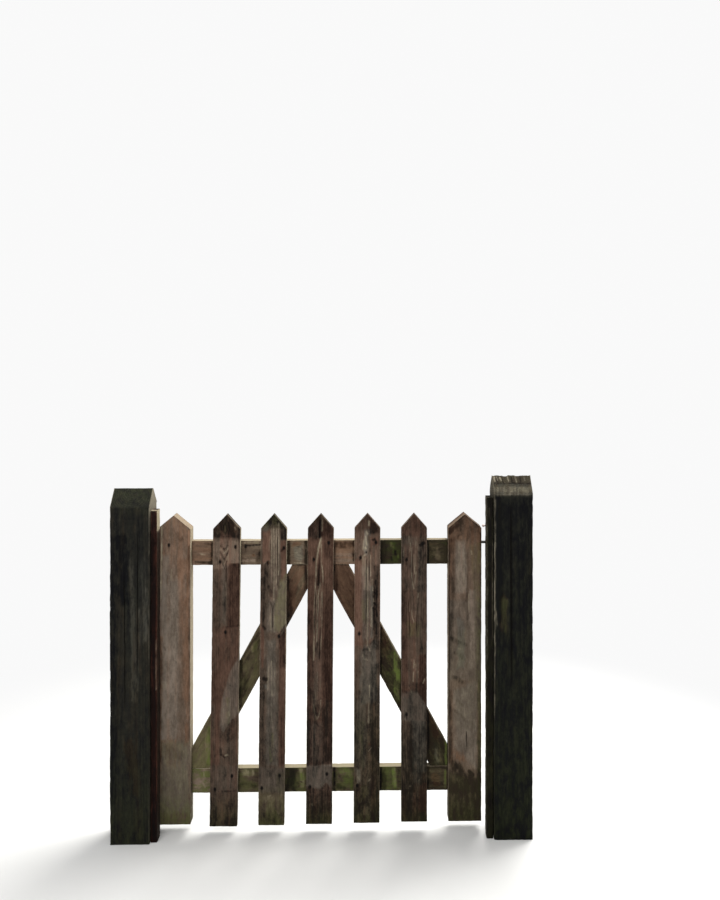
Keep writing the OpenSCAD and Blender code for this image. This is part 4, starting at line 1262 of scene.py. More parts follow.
# Picket 5: darker, with short pale arches between its rails
PICKET_5_LOOK = {
    "damp_and_shade": (0, 0.95, 0.05, 0.88, 0.08, 0.84, 0.2, 0.84, 0.35, 0.74, 0.45, 0.63, 0.55, 0.64, 0.7, 0.66,
             0.8, 0.67, 0.81, 0.68, 0.88, 0.8),
    "stain": (0, 0.35, 0.07, 0.4, 0.09, 0.25, 0.3, 0.25, 0.5, 0.3, 0.75, 0.25, 0.8, 0.25, 0.815, 0.6,
              0.88, 0.6),
    "algae": (0, 0.4, 0.05, 0.1, 0.15, 0.1, 0.3, 0), "side_pale": (0, 0.2, 0.87, 0.4), "top_pale": 0.4,
    "heart": (0.5, 0.015), "rings": 0.0036, "taper": -0.004,
    "damp_and_shade_shapes": [
        (2.2, 0.1, *PICKET_5_UPPER_EDGE), (2.2, 0.16, 400.6, 586, 406, 662),
        (1.4, 0.22, *PICKET_5_LOWER_EDGE), (1.6, 0.12, 421, 772, 426, 822),
    ],
    "dry_and_lit_shapes": [
        (2, 0.12, 407, 537, 418, 537, 417.6, 590, 409, 590), (2, 0.16, 407.6, 592, 420, 640),
        (2, 0.18, 408, 640, 419, 640, 419, 682, 408, 684),
        (1.2, 0.14, 401, 694, 417.6, 693, 426, 706, 426, 722, 401, 720), (2.4, 0.1, 403, 722, 409, 768),
    ],
    "warm_shapes": [
        (2, 0.25, 401, 545, 417.6, 545, 417, 690, 401, 690), (1.2, 0.8, *PICKET_5_LOWER_EDGE),
        (1.6, 0.5, 402, 688, 410, 697), (1.4, 0.7, 419, 785, 426, 783, 426, 812, 419, 812),
    ],
    "cool_shapes": [
        (1.6, 0.14, 401, 536, 417.6, 536, 417, 590, 401, 590), (2.2, 0.2, *PICKET_5_UPPER_EDGE),
        (1.2, 0.4, 401, 692, 417.6, 691.5, 426, 705, 426, 722, 401, 720),
        (1.6, 0.65, 412, 720, 426, 720, 426, 773, 413, 773), (1.6, 0.4, 414, 764, 421, 784),
    ],
    "algae_shapes": [(2, 0.35, 407.6, 622, 420, 624, 420, 637, 407.6, 637)],
    "dark_strokes": [
        (0.8, 0.6, 420.8, 545, 423.4, 542.9), (0.4, 0.35, 413, 545, 412.8, 572),
        (0.35, 0.35, 407.8, 545, 407.8, 585), (0.4, 0.4, 413.6, 596, 413.8, 610),
        (1, 0.5, 421.6, 643.6, 422.2, 649), (0.5, 0.4, 404.6, 648, 405.2, 652),
        (0.4, 0.4, 411.4, 662, 411.2, 680), (0.8, 0.5, 405.2, 691.4, 407.2, 693.2),
        (0.6, 0.5, 417.8, 691, 421, 697), (0.5, 0.4, 409.6, 702.6, 411.4, 703.4),
        (0.6, 0.5, 421.6, 702, 423.8, 704),
    ],
    "pale_strokes": [
        (0.5, 0.4, 409.2, 536, 409.2, 543), (0.5, 0.45, 410.2, 543, 410, 552),
        (0.45, 0.4, 415.6, 541, 415.8, 566), (0.4, 0.35, 417.6, 543, 417.8, 557),
        (0.5, 0.45, 414, 555, 414.6, 574), (0.4, 0.35, 411.8, 548, 412, 566),
        (0.6, 0.5, 411.6, 573, 413.4, 588), (0.5, 0.45, 416.4, 572, 414.2, 589),
        (0.4, 0.35, 404.2, 548, 403.6, 556), (0.5, 0.45, 418.4, 594, 417.4, 598),
        (0.5, 0.5, 411.6, 610, 412.2, 617, 414, 622), (0.5, 0.45, 416.2, 611, 415.2, 617),
        (0.4, 0.35, 409.6, 602, 409.2, 612), (0.5, 0.45, 414, 660, 413.6, 668),
        (0.6, 0.45, 415.4, 664, 415.8, 670), (0.6, 0.45, 413.6, 672, 413.2, 681),
        (0.5, 0.45, 417.8, 671, 418.4, 678), (0.4, 0.8, 423, 683, 425, 678.8),
        (0.5, 0.3, 409.2, 688, 412.2, 693), (0.4, 0.3, 406.2, 709, 406.4, 712),
        (0.4, 0.3, 409.6, 786.4, 411, 785.8), (0.4, 0.25, 418.6, 781, 419.6, 778.6),
    ],
    "damp_and_shade_strokes": [(1.3, 0.7, 420.8, 545.2, 423.8, 542.8), (1.2, 0.25, 405, 790.5, 414, 791.4)],
    "dry_and_lit_strokes": [(1, 0.3, 405.2, 719, 406.4, 721)],
    "warm_strokes": [(1.4, 0.8, 415, 765, 415.8, 768)],
    "cracks": [
        (0.0006, 0.001, 412.8, 550, 412.8, 580), (0.0006, 0.0012, 408.6, 596, 410, 640),
        (0.0006, 0.001, 417.4, 600, 416.4, 634),
    ],
    "nails": [(422.6, 543.8), (406.5, 559.6), (406.5, 714.6)],
}

# Hanging stile: bleached on its left edge and green at its foot, with its side faces pale, partly as painted
# sky light
HANGING_STILE_LOOK = {
    "damp_and_shade": (0, 0.62, 0.03, 0.54, 0.12, 0.51, 0.18, 0.42, 0.3, 0.31, 0.7, 0.31, 0.78, 0.37, 0.87, 0.33),
    "stain": (0, 0.1, 0.1, 0.15, 0.16, 0.3, 0.3, 0.15, 0.66, 0.15, 0.74, 0.5, 0.87, 0.55),
    "algae": (0, 0.85, 0.04, 0.6, 0.09, 0.25, 0.14, 0),
    "side_pale": (0, 0.1, 0.12, 0.3, 0.2, 0.85, 0.87, 0.85), "top_pale": 0.62, "top_deep": (0.9, 1.1),
    "heart": (0.45, 0.09), "rings": 0.006, "taper": 0.01,
    "damp_and_shade_shapes": [(3, 0.12, 179, 600, 188, 745)],
    "dry_and_lit_shapes": [(2.4, 0.14, 161, 556, 167, 740), (3, 0.08, 161, 760, 189, 812)],
    "warm_shapes": [(3, 0.4, 179, 560, 188, 560, 188, 700, 180, 700)],
    "cool_shapes": [
        (2.4, 0.55, 161, 556, 168, 740), (3, 0.45, 168, 580, 179, 580, 178, 740, 168, 740),
        (3, 0.5, 161, 742, 189, 812),
    ],
    "algae_shapes": [(3, 0.28, 161, 742, 189, 800)],
    "pale_strokes": [
        (0.8, 1, 161.7, 526, 161.5, 560), (0.7, 0.6, 161.2, 560, 160.8, 600),
        (0.8, 1, 160.9, 582, 160.8, 583.4), (1.2, 0.3, 172, 570, 171, 580), (2, 0.25, 164.6, 683, 164.4, 688),
    ],
    "damp_and_shade_strokes": [
        (1.2, 0.2, 189.2, 545, 188.8, 740), (2.4, 0.22, 178.4, 533, 180.5, 539),
        (3, 0.35, 159.8, 640, 159, 760), (0.8, 0.3, 173.4, 609, 174, 616), (0.8, 0.35, 164, 647, 165.6, 650),
        (5, 0.15, 168, 748, 180, 756),
    ],
    "dry_and_lit_strokes": [(0.8, 0.3, 189, 531, 188.8, 545), (5, 0.15, 171, 640, 171, 690)],
    "warm_strokes": [
        (1.6, 0.7, 188.8, 531, 188.2, 600), (2.4, 0.5, 187, 600, 186.4, 745), (3, 0.8, 160, 640, 159, 770),
        (8, 0.5, 172, 744, 176, 760),
    ],
    "nails": [(168.8, 545.2)],
}

# Closing stile: algae on its right edge, and a damp band beside the bottom rail
CLOSING_STILE_LOOK = {
    "damp_and_shade": (0, 0.98, 0.06, 0.9, 0.12, 0.64, 0.15, 0.54, 0.3, 0.45, 0.42, 0.48, 0.5, 0.48, 0.7, 0.5,
             0.78, 0.55, 0.82, 0.7, 0.87, 0.73),
    "stain": (0, 0.1, 0.1, 0.2, 0.2, 0.2, 0.35, 0.1, 0.5, 0.15, 0.76, 0.25, 0.8, 0.6, 0.87, 0.6),
    "algae": (0, 0.6, 0.05, 0.45, 0.1, 0.15, 0.2, 0.05, 0.45, 0.1, 0.55, 0),
    "side_pale": (0, 0.3, 0.1, 0.3, 0.3, 0.3, 0.87, 0.4), "top_pale": 0.32, "heart": (0.45, 0.05),
    "rings": 0.0052, "taper": 0.012,
    "damp_and_shade_shapes": [
        (1.6, 0.24, 447.5, 538, 454.5, 538, 454.5, 640, 447.5, 690),
        (1.6, 0.12, 476.6, 612, 482.6, 606, 482.6, 682, 476.6, 682),
        (1.6, 0.3, 477.8, 680, 483, 680, 483, 800, 477.4, 800),
        (1.4, 0.38, 447.5, 690, 451.6, 690, 452, 764, 447.5, 764),
        (2.4, 0.4, 449.5, 762, 455, 760, 460.5, 763.5, 462, 771, 451, 770),
        (2.6, 0.26, 447, 768, 455, 769.5, 466, 773.5, 471, 771, 476, 777, 483, 784, 483, 793, 447, 793),
    ],
    "dry_and_lit_shapes": [
        (2, 0.18, 455.5, 541, 466, 541, 467, 592, 455.5, 592), (1.6, 0.16, 469.6, 590, 475.4, 668),
        (2.6, 0.08, 450, 690, 477, 680, 477, 768, 454, 762),
        (2.4, 0.14, 464, 754, 476, 754, 475.6, 768, 466, 772),
    ],
    "warm_shapes": [
        (1.6, 0.2, 447.5, 538, 454.5, 600), (1.4, 0.35, 447.5, 690, 452.4, 690, 452.6, 764, 447.5, 764),
        (2.6, 0.6, 455, 750, 465, 751, 466, 762, 455, 760),
    ],
    "cool_shapes": [
        (2, 0.42, 455.5, 540, 466, 540, 467.4, 592, 455.5, 592), (2, 0.35, 447.5, 600, 482, 680),
        (1.6, 0.4, 469.6, 590, 475.4, 626), (2, 0.8, 456.5, 616, 465.4, 620, 466, 668, 457, 670),
        (2.6, 0.5, 454, 690, 477, 680, 477, 768, 456, 750),
    ],
    "algae_shapes": [
        (2, 0.22, 469.5, 545, 482, 545, 482, 620, 476, 620),
        (2, 0.35, 476, 612, 482.6, 606, 482.6, 682, 476, 682),
        (2.4, 0.25, 456.5, 630, 465.4, 630, 466, 668, 457, 670),
        (3, 0.16, 454, 690, 477, 680, 477, 730, 456, 730),
        (1.6, 0.5, 477.8, 680, 483, 680, 483, 800, 477, 800),
        (2, 0.35, 447, 770, 466, 776, 483, 786, 483, 822, 447, 822),
    ],
    "dark_strokes": [
        (0.8, 0.5, 449.2, 528.6, 464.6, 515.2), (0.8, 0.5, 465.6, 515.4, 479.8, 527),
        (0.8, 0.45, 449.4, 529, 449, 560), (0.5, 0.2, 467.5, 553, 468, 572, 466.8, 598, 467.7, 625),
        (0.5, 0.6, 466.4, 731, 466.9, 747), (0.8, 0.45, 455.6, 764.6, 457, 768),
    ],
    "pale_strokes": [
        (0.6, 0.4, 468.6, 594, 468.9, 612), (0.6, 0.45, 471.2, 551, 471.6, 554),
        (0.8, 0.22, 459, 545, 458.6, 590), (0.8, 0.2, 463.8, 548, 464, 590), (1, 0.25, 458, 648.5, 462, 649),
    ],
    "damp_and_shade_strokes": [
        (1.1, 0.2, 457.6, 538, 459, 535, 461.4, 536, 460.6, 539), (2.2, 0.35, 449.8, 532, 457, 525.4),
        (0.9, 0.4, 449, 560, 448.6, 700), (1, 0.14, 467.8, 553, 467.4, 625),
        (0.9, 0.42, 480.6, 532, 481.3, 600, 482.2, 690), (2.2, 0.26, 451.6, 638, 458, 642, 465, 644.5),
        (1.8, 0.24, 455, 652, 460, 655, 464, 659), (2.2, 0.3, 454, 677, 458, 679, 462, 682),
        (1.4, 0.2, 455.4, 711, 460, 714, 466, 721), (1.2, 0.18, 457, 700, 463, 706),
        (1.6, 0.4, 469, 771, 473, 775),
    ],
    "dry_and_lit_strokes": [(1.4, 0.3, 461, 536.6, 461.4, 538)],
    "algae_strokes": [(2.6, 0.5, 478.6, 545, 479.4, 600, 480.2, 690)],
    "cracks": [(0.0007, 0.001, 466.6, 730, 466.9, 748)],
}

# Top rail: each stretch between two pickets has its own tone. The upright dark and damp strokes beside the
# pickets' and the closing stile's edges are painted shadow, and its pale top and bottom faces are partly
# painted sky light
TOP_RAIL_LOOK = {
    "damp_and_shade": (0, 0.35, 0.05, 0.4, 0.12, 0.5, 0.2, 0.42, 0.28, 0.43, 0.36, 0.45, 0.4, 0.37, 0.5, 0.33,
             0.53, 1.15, 0.6, 1.05, 0.64, 0.88, 0.72, 0.9),
    "stain": (0, 0.55, 0.08, 0.5, 0.15, 0.1, 0.25, 0.25, 0.32, 0.1, 0.4, 0.6, 0.5, 0.5, 0.56, 0.3, 0.72, 0.1),
    "algae": (0, 0, 0.15, 0.1, 0.3, 0.15, 0.36, 0, 0.52, 0.1, 0.56, 0.85, 0.62, 0.8, 0.66, 0.35, 0.72, 0.3),
    "side_pale": (0, 0.85, 0.5, 0.85, 0.6, 0.8, 0.72, 0.75), "heart": (0.6, 0.06), "taper": 0.006,
    # Upright dark strokes at the pickets' right edges: painted shadow
    "dark_strokes": [
        (0.9, 1, 246, 545.8, 250, 545.6), (0.8, 1, 250, 545.6, 256, 545.2, 260.5, 544.8),
        (0.7, 0.5, 253.2, 554.8, 253.5, 555.1), (0.6, 0.45, 297, 546.6, 299, 547.2),
        (0.6, 0.4, 302, 549, 303, 550), (1.1, 0.95, 334.4, 540.5, 334.6, 565),
        (1.6, 0.7, 380.8, 541, 380.8, 564), (3, 0.45, 384, 544, 384, 562),
        (1.6, 1, 395.2, 551.4, 395.4, 554.4), (1, 0.8, 391.4, 557, 392, 560),
        (1.2, 0.8, 427.8, 541, 427.8, 564),
    ],
    "pale_strokes": [
        (0.8, 0.5, 200.5, 554, 204.5, 554.6), (4, 0.35, 298, 552, 299, 558),
        (0.7, 0.8, 294.5, 562.8, 303, 563.2),
    ],
    # Upright damp strokes at the pickets' and the closing stile's edges: painted shadow
    "damp_and_shade_strokes": [
        (2, 0.6, 212.5, 541, 212.6, 564), (1.4, 0.4, 196, 562, 213, 563), (1.6, 0.25, 206, 543, 213, 546),
        (1.5, 0.7, 239.6, 541, 239.6, 564), (2.4, 0.35, 261.4, 550, 261.4, 564),
        (2.5, 0.2, 257.8, 556, 258, 564), (1.7, 0.9, 288.6, 541, 288.6, 564),
        (1.6, 0.7, 305.8, 541, 306, 564), (3.4, 0.45, 337, 544.5, 352, 544.5),
        (1.2, 0.6, 353.8, 541, 353.8, 560), (1.5, 0.5, 382, 562.5, 400, 562),
        (1.4, 0.5, 445.6, 541, 445.8, 564),
    ],
    "dry_and_lit_strokes": [
        (1.2, 0.35, 243, 542.6, 259, 542.2), (1.4, 0.4, 243, 560.6, 255, 560.4),
        (6, 0.15, 343, 557, 348, 557), (2.5, 0.45, 391.5, 544, 392, 550), (0.9, 0.5, 398.2, 551, 398.1, 557),
        (3, 0.2, 437, 550, 438, 558),
    ],
    "warm_strokes": [
        (1.4, 1, 253.2, 555, 253.6, 555.4), (2.2, 1, 294, 544.6, 298.5, 543.8),
        (1.4, 0.8, 299.5, 552.4, 301, 553.4), (3, 0.6, 338, 545, 352, 545),
    ],
    "cool_strokes": [(5, 0.8, 298, 550, 299, 556)],
    "algae_strokes": [(1.2, 0.35, 243, 542.8, 259, 542.6), (1.8, 0.8, 440, 543.2, 445.5, 543.6)],
    "lush_strokes": [(3.4, 0.9, 393.5, 545, 394.5, 560), (1.4, 1, 398.2, 550, 398, 559)],
    "nails": [(245.6, 546.4)],
}

# Bottom rail: green between the pickets. The upright dark and damp strokes beside the hanging stile's and the
# pickets' right edges are painted shadow, and its pale top and bottom faces are partly painted sky light
BOTTOM_RAIL_LOOK = {
    "damp_and_shade": (0, 0.2, 0.05, 0.22, 0.09, 0.54, 0.15, 0.6, 0.22, 0.66, 0.3, 0.66, 0.4, 0.64, 0.5, 0.64,
             0.58, 0.68, 0.66, 0.82, 0.72, 0.85),
    "stain": (0, 0, 0.64, 0, 0.69, 0.35, 0.72, 0.2),
    "algae": (0, 0.95, 0.08, 0.95, 0.16, 0.7, 0.3, 0.8, 0.4, 0.85, 0.55, 0.9, 0.64, 0.3, 0.72, 0.3),
    "side_pale": (0, 0.85, 0.72, 0.8), "heart": (0.5, 0.05), "taper": 0.006,
    # Upright dark strokes at the pickets' right edges: painted shadow
    "dark_strokes": [
        (0.9, 0.8, 238.4, 768, 238.4, 791), (1, 0.9, 286, 768, 286, 791), (5, 0.55, 291.5, 774, 291.5, 790),
        (0.6, 0.6, 300.6, 781.5, 301.8, 782.4), (1.5, 0.95, 334.4, 768, 334.4, 791),
        (1.6, 0.95, 380.8, 768, 380.8, 791), (0.9, 0.6, 398.4, 770, 398, 777),
        (1.3, 0.85, 427.6, 766, 427.6, 790),
    ],
    "pale_strokes": [
        (0.7, 0.45, 203.5, 773, 204.5, 777), (0.7, 0.4, 203, 783, 205, 787), (3, 0.3, 244, 772, 252, 772),
    ],
    # Upright damp strokes beside the hanging stile's and the pickets' right edges: painted shadow
    "damp_and_shade_strokes": [
        (1, 0.5, 191, 766, 191.2, 791), (3, 0.25, 242, 785, 254, 786), (1, 0.4, 250, 770.4, 251, 771.2),
        (5, 0.65, 291.5, 770, 292, 781), (4, 0.2, 290, 786, 296, 787), (2.5, 0.3, 338, 786, 344, 788),
        (2.5, 0.4, 384, 772, 384, 789), (1.2, 0.4, 430, 766.5, 444, 766.5),
    ],
    "dry_and_lit_strokes": [
        (4, 0.15, 198, 786, 205, 772), (3.6, 0.4, 246, 773.5, 251, 773), (2.2, 0.75, 302, 770, 302.2, 786),
        (4, 0.3, 343, 771, 350, 773), (1.8, 0.6, 393.8, 769, 395, 786), (2, 0.15, 431, 771, 444, 770.5),
        (1.2, 0.4, *BOTTOM_RAIL_END),
    ],
    "warm_strokes": [(4, 0.9, 435, 777, 437, 784)],
    "algae_strokes": [
        (1.6, 0.9, 255.6, 775, 255, 781), (2.2, 1, 301.8, 770, 302.2, 788),
        (2.6, 0.5, 430, 771.5, 444, 770.5),
    ],
    "lush_strokes": [
        (1.8, 0.7, 302.4, 770, 302.6, 786), (6, 0.55, 345, 771, 349, 780), (1.2, 1, 351.4, 778, 351.4, 789),
        (2.2, 1, 393.6, 768, 395, 788), (5, 0.45, 390, 770, 392, 786), (1.3, 0.9, *BOTTOM_RAIL_END),
    ],
}

# Left brace: green at its foot and darkest at its middle. The upright dark and damp strokes beside the
# pickets are painted shadow
LEFT_BRACE_LOOK = {
    "damp_and_shade": (0, 0.26, 0.12, 0.32, 0.25, 0.56, 0.38, 0.64, 0.5, 0.58, 0.62, 0.44),
    "stain": (0, 0, 0.3, 0.1, 0.45, 0.4, 0.55, 0.6, 0.7, 0.35),
    "algae": (0, 0.55, 0.14, 0.35, 0.25, 0.45, 0.38, 0.2, 0.48, 0), "side_pale": (0, 0.3, 0.65, 0.4),
    "heart": (0.5, 0.05),
    "dark_strokes": [
        (0.8, 0.9, 239, 655, 239, 708), (1, 0.95, 288, 577, 288, 626), (0.6, 0.7, 290, 565, 306, 565.2),
    ],
    "damp_and_shade_strokes": [
        (1.6, 0.4, 241, 660, 240.6, 706), (2.5, 0.25, 247, 676, 244, 696), (2, 0.35, 290.6, 580, 290.6, 618),
        (1.4, 0.5, 305.6, 566, 305.8, 590),
    ],
    "dry_and_lit_strokes": [
        (2, 0.45, 207, 735, 208.4, 762), (1.5, 0.35, 252, 647, 252.6, 651), (3.4, 0.22, 300, 570, 301, 585),
    ],
    "warm_strokes": [(2.6, 0.8, 294, 588, 291.6, 608)],
    "algae_strokes": [(2.6, 1, 207.5, 728, 208.6, 764), (3, 0.6, 256, 640, 254, 676)],
    "lush_strokes": [(1.6, 0.5, 208.2, 728, 208.8, 764)],
}

# Right brace: darker, with bright algae beside picket 5 and the closing stile. The upright dark and damp
# strokes beside the pickets are painted shadow
RIGHT_BRACE_LOOK = {
    "damp_and_shade": (0, 0.95, 0.08, 0.9, 0.16, 1, 0.26, 0.94, 0.36, 0.79, 0.44, 0.85, 0.5, 0.68, 0.65, 0.52),
    "stain": (0, 0.1, 0.12, 0.4, 0.2, 0.2, 0.3, 0.2, 0.42, 0.6, 0.5, 0.9, 0.65, 1),
    "algae": (0, 0.4, 0.08, 0.2, 0.18, 0.1, 0.25, 0.4, 0.36, 0.5, 0.44, 0.1, 0.55, 0),
    "side_pale": (0, 0.2, 0.65, 0.4), "heart": (0.4, 0.05),
    "dark_strokes": [
        (1, 0.95, 334.6, 566, 334.6, 592), (1, 0.9, 380.6, 628, 380.6, 675),
        (1.2, 0.85, 427.6, 712, 428.2, 752), (0.6, 0.6, 333, 565, 352, 565),
    ],
    "damp_and_shade_strokes": [(1.2, 0.3, 336.5, 566, 337, 590), (4, 0.3, 432, 728, 433, 745)],
    "dry_and_lit_strokes": [
        (3, 0.6, 395.8, 656, 397.4, 698), (1.2, 0.4, *RIGHT_BRACE_FOOT), (3.5, 0.25, 437, 752, 440, 760),
    ],
    "warm_strokes": [(2.6, 0.8, 383.4, 632, 387, 648), (3.4, 0.8, 431.5, 708, 436, 735)],
    "cool_strokes": [(3, 0.5, 436, 746, 437, 762)],
    "algae_strokes": [(4, 0.8, 389, 658, 390, 678)],
    "lush_strokes": [(3.4, 1, 395.6, 655, 397.2, 700), (1.4, 0.95, *RIGHT_BRACE_FOOT)],
}

# Hinge post: pale along the edge beside its stop batten, and a painted bluish sheen on its face
HINGE_POST_LOOK = {
    "damp_and_shade": (0, 0.6, 0.3, 0.55, 0.6, 0.49, 0.9, 0.56, 0.93, 0.42, 0.98, 0.3), "stain": (0, 0.3, 0.98, 0.2),
    "algae": (0, 0.4, 0.3, 0.1, 0.9, 0.05, 0.98, 0.5),
    "side_pale": (0, 0.25, 0.3, 0.12, 0.85, 0.2, 0.915, 0.75, 0.98, 0.95), "heart": (0.5, -0.05),
    "rings": 0.005,
    "pale_strokes": [(0.7, 0.55, 149.6, 505, 149.4, 560), (0.6, 0.3, 149.4, 560, 149.2, 660)],
    "damp_and_shade_strokes": [(6, 0.4, 122, 540, 124, 600), (5, 0.3, 113, 540, 113, 800)],
    "dry_and_lit_strokes": [
        (2.5, 0.4, 131, 560, 134, 700), (3, 0.3, 146, 590, 146, 640), (2, 0.25, 138, 610, 138, 690),
    ],
    "warm_strokes": [(6, 0.5, 130, 745, 134, 790)],
    # A painted bluish sheen on the post's dark face
    "cool_strokes": [(4, 0.14, 143, 560, 144, 640)],
    "cracks": [(0.0008, 0.002, 124, 560, 125, 720), (0.0008, 0.002, 138, 520, 137, 690)],
}

# Latch post: a broken top, a pale front slope and a pale left edge. The pale and dry strokes on the front
# slope are partly weathered end grain, partly painted sky light
LATCH_POST_LOOK = {
    "damp_and_shade": (0, 0.85, 0.9, 0.8, 0.95, 0.7, 0.962, 0.25, 1.01, 0.05),
    "stain": (0, 0.15, 0.95, 0.15, 0.97, 0.5, 1, 0.4), "algae": (0, 0.6, 0.4, 0.3, 0.96, 0.1, 1, 0.2),
    "top_pale": 0.1, "side_pale": (0, 0.1, 0.93, 0.15, 0.955, 0.42, 1, 0.5), "ragged": 0.007,
    "top_marks": True, "heart": (0.5, -0.05), "rings": 0.005,
    "dark_strokes": [
        (0.7, 0.75, 495.8, 478.6, 497.8, 482.6), (0.8, 0.75, 502.2, 479.6, 503.4, 484),
        (0.8, 0.7, 511, 478, 512.4, 483.5), (0.7, 0.7, 520, 478, 521, 483.5),
        (0.8, 0.65, 494.8, 483.6, 503.5, 484, 514, 483.4, 533, 484),
    ],
    "pale_strokes": [
        (1.3, 1, 494.6, 500, 494.3, 520, 494.9, 545, 494.1, 560, 494.6, 575, 494.2, 600, 495, 612, 494.2, 636,
         494.6, 655),
        (0.8, 0.7, 496.2, 612, 497.2, 625), (0.9, 0.7, 494.6, 655, 494, 720),
        (1.2, 1, 493.8, 477.5, 495, 481.6), (0.8, 0.9, 496.4, 477.4, 497.8, 480.2),
        (1, 1, 499.6, 477.8, 501.6, 480.6), (0.7, 0.8, 507.4, 477, 508.8, 481),
        (0.7, 0.8, 515, 477, 516.6, 482), (0.6, 0.7, 524, 477, 525, 481), (0.7, 0.45, 496, 494.4, 534, 494.2),
        (4, 0.45, *LATCH_POST_SLOPE),
    ],
    "damp_and_shade_strokes": [(3, 0.5, 499, 500, 499, 620)],
    "dry_and_lit_strokes": [
        (4, 0.35, *LATCH_POST_SLOPE), (5, 0.45, 504.5, 602, 505, 627), (2, 0.2, 508, 560, 506, 600),
    ],
    "warm_strokes": [(4, 0.9, 493, 479.5, 533, 480.5), (5, 0.6, 504, 600, 504, 628)],
    "algae_strokes": [(3, 0.3, 496, 490, 534, 490), (4.5, 0.45, 504, 600, 505, 628)],
    "cracks": [(0.0018, 0.005, 511, 490, 512, 700)],
}

# Hinge post's stop batten: red-brown stain left on its right edge. Its damp and side_pale rows make it
# lighter above the leaf's shoulders, as painted sky light, and darker below, as painted shade from the leaf
HINGE_STOP_LOOK = {
    "damp_and_shade": (0, 0.91, 0.85, 0.84, 0.9, 0.6, 0.92, 0.5), "stain": (0, 0.55, 0.85, 0.5, 0.92, 0.4),
    "heart": (0.5, 0.03), "nibble": 0.0016, "side_pale": (0, 0.12, 0.855, 0.14, 0.862, 0.95, 0.92, 1),
    "top_pale": 0.8,
    "pale_strokes": [(0.6, 0.35, 156, 640, 156.2, 690)],
    "damp_and_shade_strokes": [(2, 0.2, 153, 540, 153, 800)],
    "dry_and_lit_strokes": [(1, 0.36, 157.4, 505, 157.2, 800)],
    "warm_strokes": [(1.2, 0.9, 157.2, 505, 157, 800)],
}

# Latch post's stop batten: nearly black, with a greyer left edge
LATCH_STOP_LOOK = {
    "damp_and_shade": (0, 1, 0.92, 0.9), "stain": (0, 0.05, 0.92, 0.1), "heart": (0.5, 0.03), "nibble": 0.0016,
    "algae": (0, 0.3, 0.95, 0.2), "side_pale": (0, 0.15, 0.95, 0.35), "top_pale": 0.15, "ragged": 0.005,
    "dark_strokes": [(1.5, 0.75, 490.6, 499, 490.4, 700)],
    "pale_strokes": [(0.6, 0.35, 492.8, 540, 492.4, 575, 492.8, 640), (0.6, 0.35, 489.4, 508, 490, 519)],
    "dry_and_lit_strokes": [(0.8, 0.3, *LATCH_STOP_LEFT_EDGE)],
    "cool_strokes": [(1, 0.7, *LATCH_STOP_LEFT_EDGE)],
}


def make_leaf():
    """Pickets, stiles, rails and braces, each with its look."""
    looks = (PICKET_1_LOOK, PICKET_2_LOOK, PICKET_3_LOOK, PICKET_4_LOOK, PICKET_5_LOOK)
    for index, look in enumerate(looks, 1):
        picket(index, look)
    stile("hanging_stile", 1, HANGING_STILE_LOOK)
    stile("closing_stile", 2, CLOSING_STILE_LOOK)
    rail("top_rail", 3, TOP_RAIL_LOOK)
    rail("bottom_rail", 4, BOTTOM_RAIL_LOOK)
    brace("left_brace", -1, 5, LEFT_BRACE_LOOK)
    brace("right_brace", 1, 6, RIGHT_BRACE_LOOK)


def make_posts():
    """Both posts and their stop battens, each with its look."""
    post("hinge_post", 7, HINGE_POST_LOOK)
    post("latch_post", 8, LATCH_POST_LOOK)
    upright_board("hinge_post_stop", STOP, 20, HINGE_STOP_LOOK)
    upright_board("latch_post_stop", STOP, 21, LATCH_STOP_LOOK)


def turned_disc(name, centre, out, profile, sides, metal, body):
    """A round head from (radius, height) stops, facing along out, which is -Y or +Y."""
    points, faces = [], []
    for radius, height in profile:
        for i in range(sides):
            a = 2 * math.pi * i / sides
            x, z = radius * math.cos(a), -out * radius * math.sin(a)
            points.append((centre[0] + x, centre[1] + out * height, centre[2] + z))
    for r in range(len(profile) - 1):
        for i in range(sides):
            n = (i + 1) % sides
            faces.append((r * sides + i, r * sides + n, (r + 1) * sides + n, (r + 1) * sides + i))
    faces.append(tuple(range((len(profile) - 1) * sides, len(profile) * sides)))
    faces.append(tuple(reversed(range(sides))))
    small_piece(name, points, faces, metal, body)


def small_piece(name, points, faces, metal, body):
    """A nail's or screw's head, which rides on the body that it is driven into."""
    obj = mesh_object(name, points, faces, smooth_shade=False)
    obj.data.materials.append(metal)
    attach(obj, body)


def screw_turn(name):
    """How far a screw's slot is turned, which depends on its name alone."""
    mark = sum(times * ord(letter) for times, letter in enumerate(name, FIRST_LETTER))
    return math.radians(mark % SCREW_TURNS * SCREW_STEP)


